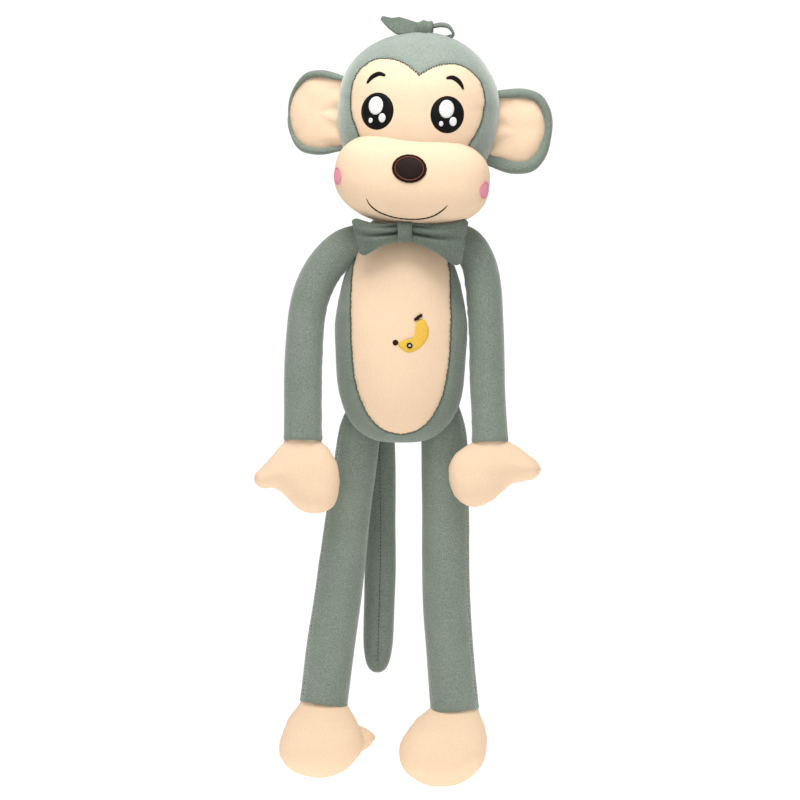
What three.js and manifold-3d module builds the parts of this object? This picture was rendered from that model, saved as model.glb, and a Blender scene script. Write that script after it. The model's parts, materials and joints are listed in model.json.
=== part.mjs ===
// A limp, long-limbed stuffed monkey, held up by the crown of its head, in millimetres.
// +Z is up, the face looks along -Y, and the origin is the crown point that a hand holds it by.
// Right and left are the toy's own sides, so its right arm is on the -X side.
import * as THREE from 'three';
import { mergeVertices } from 'three/addons/utils/BufferGeometryUtils.js';
import Module from 'manifold-3d';

const wasm = await Module();
wasm.setup();

// ---- driving dimensions ----
// Cloth, stuffing and gaps
const clothWall = 1.5; // plush with its backing, as one wall
const stuffingGap = 0.4; // between a cover and the stuffing in it
const seamGap = 0.3; // between two panels that a seam joins
const patchWall = 0.8; // an embroidered patch
const jointGap = 0.9; // between a socket and the ball in it
const mouthClear = 1.5; // a sleeve's mouth stops this far above the joint in it
const sleeveTuck = 2; // a limb's sleeve runs this far past its joint, into the body
const stuffingRim = 3; // stuffing stops this far short of that open end
const cuffLength = 4; // a sleeve narrows over at least this length at its closed end
const neckStub = 14; // the narrow neck of a hand or foot, in its sleeve

// Head, in its own frame with its centre at the origin
const headHalfWidth = 63.5;
const headHalfDepth = 54;
const headTop = 59.5;
const headBottom = 79;
const headTiltDeg = 5.5; // the crown leans to +X
const headTurnDeg = -2.5; // the face turns to -X
const headSide = -8; // the head's centre from the crown point, along X
const headNeckHole = 15; // radius
const facePanelBack = 6; // the panel's side seams lie this far in front of the middle

// Muzzle, from the head's centre
const muzzleHalfWidth = 60;
const muzzleHalfDepth = 34;
const muzzleHalfHeight = 34.5;
const muzzleForward = 28;
const muzzleDrop = 57;

// Face panel and the embroidery on it
const faceHalfWidth = 53;
const faceLobeX = 26.4;
const faceLobeTop = 34.5;
const faceNotchTop = 24;
const eyeX = 27.1;
const eyeDrop = 5.4;
const eyeHalfWidth = 12.8;
const eyeHalfHeight = 14.4;
const browLength = 17;
const browX = 31;
const browRise = 20;
const browWidth = 2.6;
const noseHalfWidth = 12.8;
const noseHalfHeight = 10.5;
const noseRise = 7.2; // above the muzzle's centre
const cheekRadius = 6.6;
const cheekTurnDeg = 68; // from straight ahead, round the muzzle
const cheekDrop = 3;
const smileHalfWidth = 30;
const smileDrop = 34.3; // its middle below the muzzle's centre, along the front
const smileLift = 14.5; // its ends above its middle
const smileWidth = 1.6;

// Ears
const earHeight = 67;
const earReach = 43;
const earThickness = 7;
const earDrop = 11;
const earRoot = 14; // inside the head's side, before it is trimmed to the head
const earRim = 6;
const earPocketDepth = 3;
const earRootClear = 3;
const earSweepDeg = { right: 24, left: 8 }; // how far each ear leans back

// Crown tuft and bow tie
const tuftLeafLength = 27;
const tuftLoopLength = 24;
const tuftHeight = 10;
const tuftDepth = 14;
const bowHalfWidth = 44;
const bowWingHeight = 31;
const bowWaistHeight = 8.5;
const bowThickness = 8;
const bowKnotWidth = 11.6;
const bowKnotWall = 1.8;
const bowDrop = 19; // the knot's middle below the shoulder line's top
const bowShift = 2.5; // the knot from the torso's middle
const bowForward = 40;

// Torso
const torsoSide = -21; // its middle from the crown point
const torsoHalfWidth = 51;
const torsoDepthRatio = 0.75;
const torsoLength = 180; // from the top of the neck to the bottom
const neckRadius = 17;
const neckLength = 12;
const headToNeck = 2.2; // the gap that the neck seam closes
const muzzleNeckClear = 2;
const tailRootClear = 2.5;
const socketReach = 60; // how far a limb's room is cut out of the torso, along the limb
const armpitReach = 46; // and sideways, at an arm
const bellyHalfWidth = 38.5;
const bellyTop = 18; // below the neck's top
const bellyBottom = 7.4; // above the torso's bottom
const bananaLength = 31;
const bananaWidth = 9;
const bananaDrop = 97; // below the neck's top
const bananaShift = 13;
const stalkWidth = 2.4;

// Arms: each hangs from its shoulder, bows outwards round the torso, and drops to its wrist
const armRadius = 14.3;
const shoulderInset = { right: 10, left: 0 }; // inside the torso's widest line
const shoulderForward = 4;
const shoulderDrop = 29.6; // below the neck's top
const armClear = { right: 9.3, left: 1.7 }; // from the torso's widest line to the arm at its elbow
const armBowInward = { right: 2.6, left: 5 }; // the bow from the elbow, sideways
const armBowDrop = { right: 27, left: 26 }; // the bow, elbow and wrist below the shoulder
const elbowDrop = 70;
const wristDrop = 147;
const wristOutward = { right: 1.4, left: 2 }; // from the elbow
const armBowForward = 2; // the bow, elbow and wrist in front of the shoulder
const elbowForward = 5;
const wristForward = 12;
const elbowBendDeg = 100;

// Hands: cream mittens with the thumb outward
const palmHalfWidth = 25.5;
const palmHalfHeight = 26.5;
const palmHalfDepth = 12;
const palmDrop = 32.5;
const palmForward = 3;
const palmInward = { right: -8, left: 6 };
const thumbLength = 24; // beyond the palm's middle, to the thumb's own middle
const thumbHalfLength = 18;
const thumbHalfWidth = 9;
const thumbHalfDepth = 8.4;
const thumbDrop = 26;
const thumbTiltDeg = 12;

// Legs
const legRadius = { top: 16.6, knee: 17.8, ankle: 18.6 };
const hipInset = { right: 21, left: 18 }; // inside the torso's widest line
const hipFromBack = 24.25; // in front of the torso's back
const hipRise = 10.4; // above the torso's bottom
const kneeDrop = 104; // below the hip
const kneeOutward = { right: 16, left: 2 }; // from the hip
const ankleDrop = { right: 212, left: 216 }; // below the hip
const ankleOutward = { right: 30, left: 9 }; // from the hip
const ankleForward = 1;
const kneeBendDeg = 100;
const hipSpreadDeg = 50;

// Feet: cream, with a big toe inward
const footHalfWidth = 30;
const footHalfHeight = 26.5;
const footHalfDepth = 22;
const footDrop = 36.5;
const footForward = 8;
const toeForward = 14;
const toeLength = 24;
const toeHalfLength = 17;
const toeHalfWidth = 11;
const toeDrop = { right: 25, left: 34 };

// Tail
const tailRadius = 12;
const tailInset = 34; // its root inside the torso's right-hand line
const tailStandOff = 1.8; // its root behind the torso's back
const tailRise = 20.4; // its root above the torso's bottom
const tailMiddleDrop = 102; // below the root
const tailTipDrop = 199; // below the root
const tailLean = [1, -1.5]; // its middle and tip from the root, sideways
const tailHang = [7, 8]; // its middle and tip behind the root
const tailBendDeg = 60;

// Facets
const roundSides = 10; // round a sleeve
const bodySides = 16; // round the head and torso
const headRows = 10; // down the head
const torsoRows = 10; // down the torso
const domeRows = 3; // over a sleeve's closed end

// ---- where the head and neck come to ----
const headCentre = [headSide, 0, -headTop * Math.cos(THREE.MathUtils.degToRad(headTiltDeg))];
const neckTopZ = headCentre[2] - headBottom - headToNeck;
const torsoBottomZ = neckTopZ - torsoLength;
const sides = ['right', 'left'];
const outward = { right: -1, left: 1 };

// ---- where the limbs hang ----
const onBoth = (place) => Object.fromEntries(sides.map((side) => [side, place(side, outward[side])]));
const shoulder = onBoth((side, way) => [
  torsoSide + way * (torsoHalfWidth - shoulderInset[side]), -shoulderForward, neckTopZ - shoulderDrop,
]);
const elbow = onBoth((side, way) => [
  torsoSide + way * (torsoHalfWidth + armRadius + armClear[side]),
  -shoulderForward - elbowForward,
  shoulder[side][2] - elbowDrop,
]);
const armBow = onBoth((side, way) => [
  elbow[side][0] - way * armBowInward[side],
  -shoulderForward - armBowForward,
  shoulder[side][2] - armBowDrop[side],
]);
const wrist = onBoth((side, way) => [
  elbow[side][0] + way * wristOutward[side],
  -shoulderForward - wristForward,
  shoulder[side][2] - wristDrop,
]);
const torsoBack = torsoHalfWidth * torsoDepthRatio;
const hipBack = torsoBack - hipFromBack;
const hip = onBoth((side, way) => [
  torsoSide + way * (torsoHalfWidth - hipInset[side]), hipBack, torsoBottomZ + hipRise,
]);
const knee = onBoth((side, way) => [
  hip[side][0] + way * kneeOutward[side], hipBack, hip[side][2] - kneeDrop,
]);
const ankle = onBoth((side, way) => [
  hip[side][0] + way * ankleOutward[side], hipBack - ankleForward, hip[side][2] - ankleDrop[side],
]);
const tailRoot = [
  torsoSide - torsoHalfWidth + tailInset, torsoBack + tailStandOff, torsoBottomZ + tailRise,
];
const tailMiddle = [tailRoot[0] + tailLean[0], tailRoot[1] + tailHang[0], tailRoot[2] - tailMiddleDrop];
const tailTip = [tailRoot[0] + tailLean[1], tailRoot[1] + tailHang[1], tailRoot[2] - tailTipDrop];

// ---- cloth colours ----
const cloth = (colour, roughness = 0.95) =>
  new THREE.MeshStandardMaterial({ color: colour, roughness, metalness: 0 });
const plush = () => cloth('#8e978a');
const cream = () => cloth('#fbe2bd', 0.9);
const fibre = () => cloth('#f3f1ea', 1);
const thread = (colour) => cloth(colour, 0.6);

const monkey = new THREE.Group();
const head = new THREE.Group();

// ---- making and cutting solids ----
const placed = (geometry, ...matrices) => {
  matrices.forEach((matrix) => geometry.applyMatrix4(matrix));
  return geometry;
};
const move = (x, y, z) => new THREE.Matrix4().makeTranslation(x, y, z);
const stretch = (x, y, z) => new THREE.Matrix4().makeScale(x, y, z);
const turn = (axis, degrees) =>
  new THREE.Matrix4().makeRotationAxis(axis, THREE.MathUtils.degToRad(degrees));
const xAxis = new THREE.Vector3(1, 0, 0);
const yAxis = new THREE.Vector3(0, 1, 0);
const zAxis = new THREE.Vector3(0, 0, 1);

// The head leans and turns a little on the neck.
const headLean = turn(yAxis, headTiltDeg).multiply(turn(zAxis, headTurnDeg));
head.position.set(...headCentre);
head.quaternion.setFromRotationMatrix(headLean);
monkey.add(head);

// A closed geometry as a solid that can be joined and cut.
function toSolid(geometry) {
  const bare = geometry.clone();
  bare.deleteAttribute('normal');
  bare.deleteAttribute('uv');
  const merged = mergeVertices(bare, 1e-3);
  const corners = merged.index.array;
  const kept = [];
  for (let i = 0; i < corners.length; i += 3) {
    const [a, b, c] = corners.slice(i, i + 3);
    if (a !== b && b !== c && c !== a) kept.push(a, b, c);
  }
  return new wasm.Manifold(new wasm.Mesh({
    numProp: 3,
    vertProperties: new Float32Array(merged.attributes.position.array),
    triVerts: new Uint32Array(kept),
  }));
}

// A solid, or a closed geometry, as a named piece of the toy.
function addPiece(parent, name, shape, material) {
  let geometry = shape;
  if (!shape.isBufferGeometry) {
    const { vertProperties, triVerts } = shape.getMesh();
    geometry = new THREE.BufferGeometry();
    geometry.setAttribute('position', new THREE.BufferAttribute(vertProperties, 3));
    geometry.setIndex(new THREE.BufferAttribute(triVerts, 1));
    geometry.computeVertexNormals();
  }
  const mesh = new THREE.Mesh(geometry, material);
  mesh.name = name;
  parent.add(mesh);
}

// A profile of [radius, height] points, lowest first, turned round the Z axis.
const turned = (profile, segments) => placed(
  new THREE.LatheGeometry(profile.map(([r, z]) => new THREE.Vector2(r, z)), segments),
  turn(xAxis, 90),
);

const ellipsoid = (x, y, z, columns = bodySides, rows = 8) =>
  placed(new THREE.SphereGeometry(1, columns, rows), turn(xAxis, 90), stretch(x, y, z));

// An outline in the XZ plane, given depth along Y from front to back.
const prism = (shape, front, back, curveSegments = 5) => placed(
  new THREE.ExtrudeGeometry(shape, { depth: back - front, bevelEnabled: false, curveSegments }),
  turn(xAxis, 90),
  move(0, back, 0),
);

// ---- head ----
// The stuffed head is an egg, fuller at the top; grow moves its surface outwards.
function headSolid(grow) {
  const profile = [];
  for (let i = 0; i <= headRows; i += 1) {
    const angle = (Math.PI * i) / headRows;
    const height = angle < Math.PI / 2 ? headBottom : headTop;
    const z = -Math.cos(angle) * (height + grow);
    profile.push([Math.sin(angle) * (headHalfWidth + grow), z]);
  }
  profile[0][0] = 0;
  profile[headRows][0] = 0;
  return toSolid(placed(turned(profile, bodySides), stretch(1, headHalfDepth / headHalfWidth, 1)));
}

const muzzleSolid = (grow) => toSolid(placed(
  ellipsoid(muzzleHalfWidth + grow, muzzleHalfDepth + grow, muzzleHalfHeight + grow),
  move(0, -muzzleForward, -muzzleDrop),
));

// The cream face panel: two lobes over the eyes with a notch between them, narrower at the muzzle.
function faceOutline(inset) {
  const half = faceHalfWidth - inset;
  const top = faceLobeTop - inset;
  const low = -muzzleDrop - 8;
  const shape = new THREE.Shape();
  shape.moveTo(0, faceNotchTop - inset);
  shape.bezierCurveTo(-6, top - 3, -faceLobeX + 10, top, -faceLobeX, top);
  shape.bezierCurveTo(-half + 8, top, -half, 18, -half, 3);
  shape.bezierCurveTo(-half, -20, -half + 12, low, -half * 0.55, low);
  shape.lineTo(half * 0.55, low);
  shape.bezierCurveTo(half - 12, low, half, -20, half, 3);
  shape.bezierCurveTo(half, 18, half - 8, top, faceLobeX, top);
  shape.bezierCurveTo(faceLobeX - 10, top, 6, top - 3, 0, faceNotchTop - inset);
  return shape;
}

// Panels and patches are cut by prisms that start here, well in front of the toy.
const front = -headHalfDepth * 2;
const faceCut = toSolid(prism(faceOutline(0), front, -facePanelBack));
const facePlug = toSolid(prism(faceOutline(seamGap), front, -facePanelBack - seamGap));
const neckHole = toSolid(placed(
  new THREE.CylinderGeometry(headNeckHole, headNeckHole, headBottom, roundSides),
  turn(xAxis, 90),
  move(0, 0, -headBottom),
));
const headShell = headSolid(0).subtract(headSolid(-clothWall));
addPiece(head, 'head_cover', headShell.subtract(faceCut).subtract(neckHole), plush());
addPiece(head, 'face_panel', headShell.intersect(facePlug), cream());
addPiece(head, 'head_stuffing', headSolid(-clothWall - stuffingGap), fibre());

const headRoom = headSolid(seamGap);
// The muzzle is hollowed at its back so that the neck can turn behind it.
const neckRoomRadius = neckRadius + muzzleNeckClear;
const neckRoom = toSolid(placed(
  new THREE.CylinderGeometry(neckRoomRadius, neckRoomRadius, muzzleHalfHeight * 2, bodySides),
  turn(xAxis, 90),
  move(torsoSide, 0, neckTopZ),
  new THREE.Matrix4().makeTranslation(...headCentre).multiply(headLean).invert(),
));
const muzzleRoom = headRoom.add(neckRoom);
const muzzleShell = muzzleSolid(0).subtract(muzzleSolid(-clothWall)).subtract(muzzleRoom);
addPiece(head, 'muzzle', muzzleShell, cream());
addPiece(head, 'muzzle_stuffing', muzzleSolid(-clothWall - stuffingGap).subtract(muzzleRoom), fibre());

// Embroidery is a thin patch that follows the surface under it.
const onFace = headSolid(seamGap + patchWall).subtract(headRoom);
const onMuzzle = muzzleSolid(seamGap + patchWall).subtract(muzzleSolid(seamGap));
const oval = (halfWidth, halfHeight, x, z) => {
  const shape = new THREE.Shape();
  shape.absellipse(x, z, halfWidth, halfHeight, 0, Math.PI * 2);
  return shape;
};
// A line of stitches of one width along a curve in the XZ plane, with round ends.
function stitchedLine(curve, width, steps) {
  const upper = [];
  const lower = [];
  for (let i = 0; i <= steps; i += 1) {
    const { x, y } = curve.getPoint(i / steps);
    const along = curve.getTangent(i / steps);
    const half = (width / 2) * (0.45 + 0.55 * Math.sin((Math.PI * i) / steps));
    upper.push(new THREE.Vector2(x - along.y * half, y + along.x * half));
    lower.unshift(new THREE.Vector2(x + along.y * half, y - along.x * half));
  }
  return new THREE.Shape([...upper, ...lower]);
}
const patch = (surface, shape, back = -facePanelBack) => {
  return surface.intersect(toSolid(prism(shape, front, back, 4)));
};

for (const side of sides) {
  const way = outward[side];
  const eye = oval(eyeHalfWidth, eyeHalfHeight, way * eyeX, -eyeDrop);
  addPiece(head, `${side}_eye`, patch(onFace, eye), thread('#1c1a1b'));
  const brow = new THREE.QuadraticBezierCurve(
    new THREE.Vector2(way * (browX - browLength / 2), browRise + 2.4),
    new THREE.Vector2(way * browX, browRise + 6.5),
    new THREE.Vector2(way * (browX + browLength / 2), browRise - 5),
  );
  addPiece(head, `${side}_brow`, patch(onFace, stitchedLine(brow, browWidth, 8)), thread('#262122'));
  const cheek = toSolid(placed(
    new THREE.CylinderGeometry(cheekRadius, cheekRadius, muzzleHalfWidth, 16),
    move(0, muzzleHalfWidth, 0),
    turn(xAxis, 180),
    turn(zAxis, way * cheekTurnDeg),
    move(0, -muzzleForward, -muzzleDrop - cheekDrop),
  ));
  addPiece(head, `${side}_cheek`, onMuzzle.intersect(cheek), thread('#f09cc0'));
}
const nose = oval(noseHalfWidth, noseHalfHeight, 0, noseRise - muzzleDrop);
addPiece(head, 'nose', patch(onMuzzle, nose, -muzzleForward), thread('#3d2419'));
const smileBottom = -muzzleDrop - smileDrop + 3;
const smile = new THREE.QuadraticBezierCurve(
  new THREE.Vector2(-smileHalfWidth, smileBottom + smileLift),
  new THREE.Vector2(0, smileBottom - smileLift),
  new THREE.Vector2(smileHalfWidth, smileBottom + smileLift),
);
const smileLine = stitchedLine(smile, smileWidth, 14);
addPiece(head, 'smile', patch(onMuzzle, smileLine, -muzzleForward), thread('#2a2424'));

// ---- ears ----
// Each ear is a D: a plush back with a raised rim, and a cream front that sits in it.
function earOutline(inset) {
  const half = earHeight / 2 - inset;
  const reach = earReach - inset;
  const shape = new THREE.Shape();
  shape.moveTo(-earRoot + inset, half * 0.72);
  shape.bezierCurveTo(-4, half, 6, half, reach * 0.45, half);
  shape.bezierCurveTo(reach * 0.85, half, reach, half * 0.5, reach, 0);
  shape.bezierCurveTo(reach, -half * 0.5, reach * 0.85, -half, reach * 0.45, -half);
  shape.bezierCurveTo(6, -half, -4, -half, -earRoot + inset, -half * 0.72);
  shape.closePath();
  return shape;
}
const earRoom = headSolid(earRootClear);
for (const side of sides) {
  const way = outward[side];
  const seat = [
    turn(zAxis, way * earSweepDeg[side]),
    move(way * headHalfWidth, 0, -earDrop),
  ];
  const flip = way < 0 ? [turn(yAxis, 180)] : [];
  const part = (inset, near, far) => {
    const [low, high] = way < 0 ? [-far, -near] : [near, far];
    return toSolid(placed(prism(earOutline(inset), low, high, 4), ...flip, ...seat));
  };
  const half = earThickness / 2;
  const floor = -half + earPocketDepth;
  const back = part(0, -half, half).subtract(part(earRim, -half - 1, floor)).subtract(earRoom);
  const frontPanel = part(earRim + seamGap, -half, floor - seamGap).subtract(earRoom);
  addPiece(head, `${side}_ear_back`, back, plush());
  addPiece(head, `${side}_ear_front`, frontPanel, cream());
}

// ---- crown tuft: a strip of plush pinched in its middle ----
function tuftOutline() {
  const base = headTop - 6;
  const shape = new THREE.Shape();
  shape.moveTo(-4, base);
  shape.lineTo(-tuftLeafLength + 6, base);
  shape.lineTo(-tuftLeafLength, base + tuftHeight);
  shape.bezierCurveTo(-18, base + tuftHeight + 3, -10, base + tuftHeight + 1, -3, headTop + 5);
  shape.lineTo(3, headTop + 5);
  shape.bezierCurveTo(9, headTop + tuftHeight * 0.8, 18, headTop + 4, tuftLoopLength, base + 2);
  shape.lineTo(tuftLoopLength - 4, base);
  shape.closePath();
  return shape;
}
const tuft = toSolid(prism(tuftOutline(), -tuftDepth / 2, tuftDepth / 2)).subtract(headRoom);
addPiece(head, 'crown_tuft', tuft, plush());

// ---- torso ----
// Half-widths down the torso, as shares of the widest, at shares of the length below the neck.
const torsoShape = [
  [0.06, 0.62], [0.16, 0.78], [0.3, 0.9], [0.46, 0.99], [0.6, 1], [0.75, 0.97], [0.86, 0.88],
  [0.94, 0.7], [0.985, 0.4],
];
function torsoSolid(grow) {
  const body = torsoLength - neckLength;
  const points = [
    new THREE.Vector2(0, -torsoLength),
    ...torsoShape.toReversed().map(([down, wide]) =>
      new THREE.Vector2(wide * torsoHalfWidth, -neckLength - down * body)),
    new THREE.Vector2(neckRadius, -neckLength + 1),
    new THREE.Vector2(neckRadius, 0),
  ];
  const curve = new THREE.SplineCurve(points);
  const profile = [];
  for (let i = 0; i <= torsoRows; i += 1) {
    const { x, y } = curve.getPointAt(i / torsoRows);
    const along = curve.getTangentAt(i / torsoRows);
    profile.push([Math.max(x + along.y * grow, 0.2), y - along.x * grow]);
  }
  profile[0] = [0, -torsoLength - grow];
  profile[torsoRows] = [neckRadius + grow, grow < 0 ? 1 : grow];
  profile.push([0, grow < 0 ? 1 : grow]);
  return toSolid(placed(
    turned(profile, bodySides),
    stretch(1, torsoDepthRatio, 1),
    move(torsoSide, 0, neckTopZ),
  ));
}

// A round-ended rod, to cut the room that a limb needs at its socket.
function rod(from, towards, radius, length) {
  const profile = [];
  for (let i = 0; i <= domeRows; i += 1) {
    const angle = (Math.PI / 2) * (i / domeRows);
    profile.push([Math.sin(angle) * radius, -Math.cos(angle) * radius]);
  }
  profile.push([radius, length], [0, length]);
  profile[0][0] = 0;
  const aim = new THREE.Quaternion().setFromUnitVectors(zAxis, towards.clone().normalize());
  return toSolid(placed(
    turned(profile, roundSides),
    new THREE.Matrix4().makeRotationFromQuaternion(aim),
    move(...from),
  ));
}

// Room for an arm that swings about the X axis at its shoulder: a ball with a cone outside it.
function shoulderRoom(side) {
  const [x, y, z] = shoulder[side];
  const way = outward[side];
  const flare = Math.atan2(Math.abs(armBow[side][0] - x), z - armBow[side][2]) * 0.85;
  const radius = armRadius + jointGap;
  const profile = [[0, radius]];
  for (let i = 1; i <= 4; i += 1) {
    const angle = (flare * i) / 4;
    profile.push([Math.sin(angle) * radius, Math.cos(angle) * radius]);
  }
  const edge = radius / Math.cos(flare) - armpitReach * Math.tan(flare);
  profile.push([armpitReach, edge], [armpitReach, -socketReach], [0, -socketReach]);
  profile.reverse();
  return toSolid(placed(turned(profile, roundSides), turn(yAxis, -90 * way), move(x, y, z)));
}

// Room for a leg that spreads sideways at its hip.
function hipRoom(side) {
  const down = new THREE.Vector3(...knee[side]).sub(new THREE.Vector3(...hip[side]));
  const room = rod(hip[side], down, legRadius.top + jointGap, socketReach);
  const spread = THREE.MathUtils.degToRad(-hipSpreadDeg * outward[side]);
  const leaning = down.clone().applyAxisAngle(yAxis, spread);
  return room.add(rod(hip[side], leaning, legRadius.top + jointGap, socketReach));
}

const tailDown = new THREE.Vector3(...tailMiddle).sub(new THREE.Vector3(...tailRoot));
const torsoRooms = [
  ...sides.map(shoulderRoom),
  ...sides.map(hipRoom),
  rod(tailRoot, tailDown, tailRadius + tailRootClear, socketReach),
];
const cleared = (solid) => torsoRooms.reduce((left, room) => left.subtract(room), solid);

// The belly panel is an oval, a little narrower at its top.
function bellyOutline(inset) {
  const half = bellyHalfWidth - inset;
  const top = neckTopZ - bellyTop - inset;
  const low = torsoBottomZ + bellyBottom + inset;
  const shape = new THREE.Shape();
  shape.moveTo(torsoSide, top);
  shape.bezierCurveTo(torsoSide - half * 0.8, top, torsoSide - half, top - 40, torsoSide - half, top - 80);
  shape.bezierCurveTo(torsoSide - half, low + 22, torsoSide - half * 0.65, low, torsoSide, low);
  shape.bezierCurveTo(torsoSide + half * 0.65, low, torsoSide + half, low + 22, torsoSide + half, top - 80);
  shape.bezierCurveTo(torsoSide + half, top - 40, torsoSide + half * 0.8, top, torsoSide, top);
  return shape;
}
const bellyCut = toSolid(prism(bellyOutline(0), front, -2));
const bellyPlug = toSolid(prism(bellyOutline(seamGap), front, -2 - seamGap));
const torsoShell = torsoSolid(0).subtract(torsoSolid(-clothWall));
addPiece(monkey, 'torso_cover', cleared(torsoShell.subtract(bellyCut)), plush());
addPiece(monkey, 'belly_panel', cleared(torsoShell.intersect(bellyPlug)), cream());
const neckCap = toSolid(placed(
  new THREE.BoxGeometry(neckRadius * 4, neckRadius * 4, neckLength),
  move(torsoSide, 0, neckTopZ + neckLength / 2 - stuffingGap),
));
addPiece(
  monkey,
  'torso_stuffing',
  cleared(torsoSolid(-clothWall - stuffingGap).subtract(neckCap)),
  fibre(),
);

// The banana is a crescent with a dark end and a short stalk.
const bananaMiddle = new THREE.Vector2(torsoSide + bananaShift, neckTopZ - bananaDrop);
const onBelly = torsoSolid(seamGap + 2 * patchWall).subtract(torsoSolid(seamGap));
const bananaAt = (x, z) => new THREE.Vector2(bananaMiddle.x + x, bananaMiddle.y + z);
const bananaArc = new THREE.QuadraticBezierCurve(
  bananaAt(-bananaLength * 0.32, -bananaLength * 0.28),
  bananaAt(bananaLength * 0.42, -bananaLength * 0.3),
  bananaAt(bananaLength * 0.2, bananaLength * 0.38),
);
const stalkArc = new THREE.LineCurve(
  bananaAt(bananaLength * 0.17, bananaLength * 0.44),
  bananaAt(bananaLength * 0.36, bananaLength * 0.52),
);
const tipDot = oval(
  bananaWidth * 0.25, bananaWidth * 0.25,
  bananaMiddle.x - bananaLength * 0.44, bananaMiddle.y - bananaLength * 0.26,
);
addPiece(monkey, 'banana', patch(onBelly, stitchedLine(bananaArc, bananaWidth, 10)), thread('#f2c94c'));
addPiece(monkey, 'banana_stalk', patch(onBelly, stitchedLine(stalkArc, stalkWidth, 3)), thread('#4b3324'));
addPiece(monkey, 'banana_end', patch(onBelly, tipDot), thread('#2b2420'));

// ---- bow tie ----
const bowMiddle = [torsoSide + bowShift, -bowForward, neckTopZ - bowDrop];
function bowOutline() {
  const waist = bowWaistHeight / 2;
  const wing = bowWingHeight / 2;
  const neckX = bowKnotWidth / 2 + 1;
  const shape = new THREE.Shape();
  shape.moveTo(-neckX, waist);
  shape.bezierCurveTo(-20, waist, -34, wing * 0.8, -bowHalfWidth + 2, wing);
  shape.bezierCurveTo(-bowHalfWidth, wing * 0.4, -bowHalfWidth, -wing * 0.4, -bowHalfWidth + 7, -wing);
  shape.bezierCurveTo(-24, -wing * 0.9, -14, -waist, -neckX, -waist);
  shape.lineTo(neckX, -waist);
  shape.bezierCurveTo(14, -waist, 24, -wing * 0.9, bowHalfWidth - 7, -wing);
  shape.bezierCurveTo(bowHalfWidth, -wing * 0.4, bowHalfWidth, wing * 0.4, bowHalfWidth - 2, wing);
  shape.bezierCurveTo(34, wing * 0.8, 20, waist, neckX, waist);
  shape.closePath();
  return shape;
}
const bowHalf = bowThickness / 2;
addPiece(
  monkey,
  'bow_tie',
  placed(prism(bowOutline(), -bowHalf, bowHalf), move(...bowMiddle)),
  plush(),
);
const knotInner = Math.hypot(bowWaistHeight / 2, bowHalf) + seamGap;
const knotOuter = knotInner + bowKnotWall;
addPiece(
  monkey,
  'bow_knot',
  placed(
    turned([
      [knotInner, -bowKnotWidth / 2], [knotOuter, -bowKnotWidth / 2], [knotOuter, bowKnotWidth / 2],
      [knotInner, bowKnotWidth / 2], [knotInner, -bowKnotWidth / 2],
    ], roundSides),
    turn(yAxis, 90),
    move(...bowMiddle),
  ),
  plush(),
);

// ---- limbs ----
// Bends a shape that stands on the Z axis onto a curve, with its height as the way along it.
function bentAlong(geometry, curve) {
  const length = curve.getLength();
  const position = geometry.attributes.position;
  for (let i = 0; i < position.count; i += 1) {
    const height = position.getZ(i);
    const share = THREE.MathUtils.clamp(height / length, 0, 1);
    const along = curve.getTangentAt(share);
    const depth = yAxis.clone().addScaledVector(along, -along.y).normalize();
    const side = depth.clone().cross(along);
    const at = curve.getPointAt(share).addScaledVector(along, height - share * length);
    at.addScaledVector(side, position.getX(i)).addScaledVector(depth, position.getY(i));
    position.setXYZ(i, at.x, at.y, at.z);
  }
  return geometry;
}
const point = ([x, y, z]) => new THREE.Vector3(x, y, z);
const shareRadius = (from, to, share) => from + (to - from) * share;

// The outside of a sleeve: a dome of the given height at its closed end, then a taper to its open end.
function sleeveSide(radiusAt, start, domeHeight, end, inset) {
  const points = [];
  for (let i = 0; i <= domeRows; i += 1) {
    const angle = (Math.PI / 2) * (i / domeRows);
    const height = start + inset + (1 - Math.cos(angle)) * (domeHeight - inset);
    points.push([Math.sin(angle) * (radiusAt(height) - inset), height]);
  }
  for (let i = 1; i <= 3; i += 1) {
    const height = shareRadius(start + domeHeight, end, i / 3);
    points.push([radiusAt(height) - inset, height]);
  }
  points[0][0] = 0;
  return points;
}

// A sleeve and the stuffing in it, along a curve from its closed end to its open end.
function addSleeve(name, curve, radiusAt, { start = 0, domeHeight, end, rim = 0 }) {
  const outer = sleeveSide(radiusAt, start, domeHeight, end, 0);
  const inner = sleeveSide(radiusAt, start, domeHeight, end, clothWall).reverse();
  addPiece(monkey, `${name}_sleeve`, bentAlong(turned([...outer, ...inner], roundSides), curve), plush());
  const core = sleeveSide(radiusAt, start, domeHeight, end - rim, clothWall + stuffingGap);
  core.push([0, end - rim]);
  addPiece(monkey, `${name}_stuffing`, bentAlong(turned(core, roundSides), curve), fibre());
}

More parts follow.
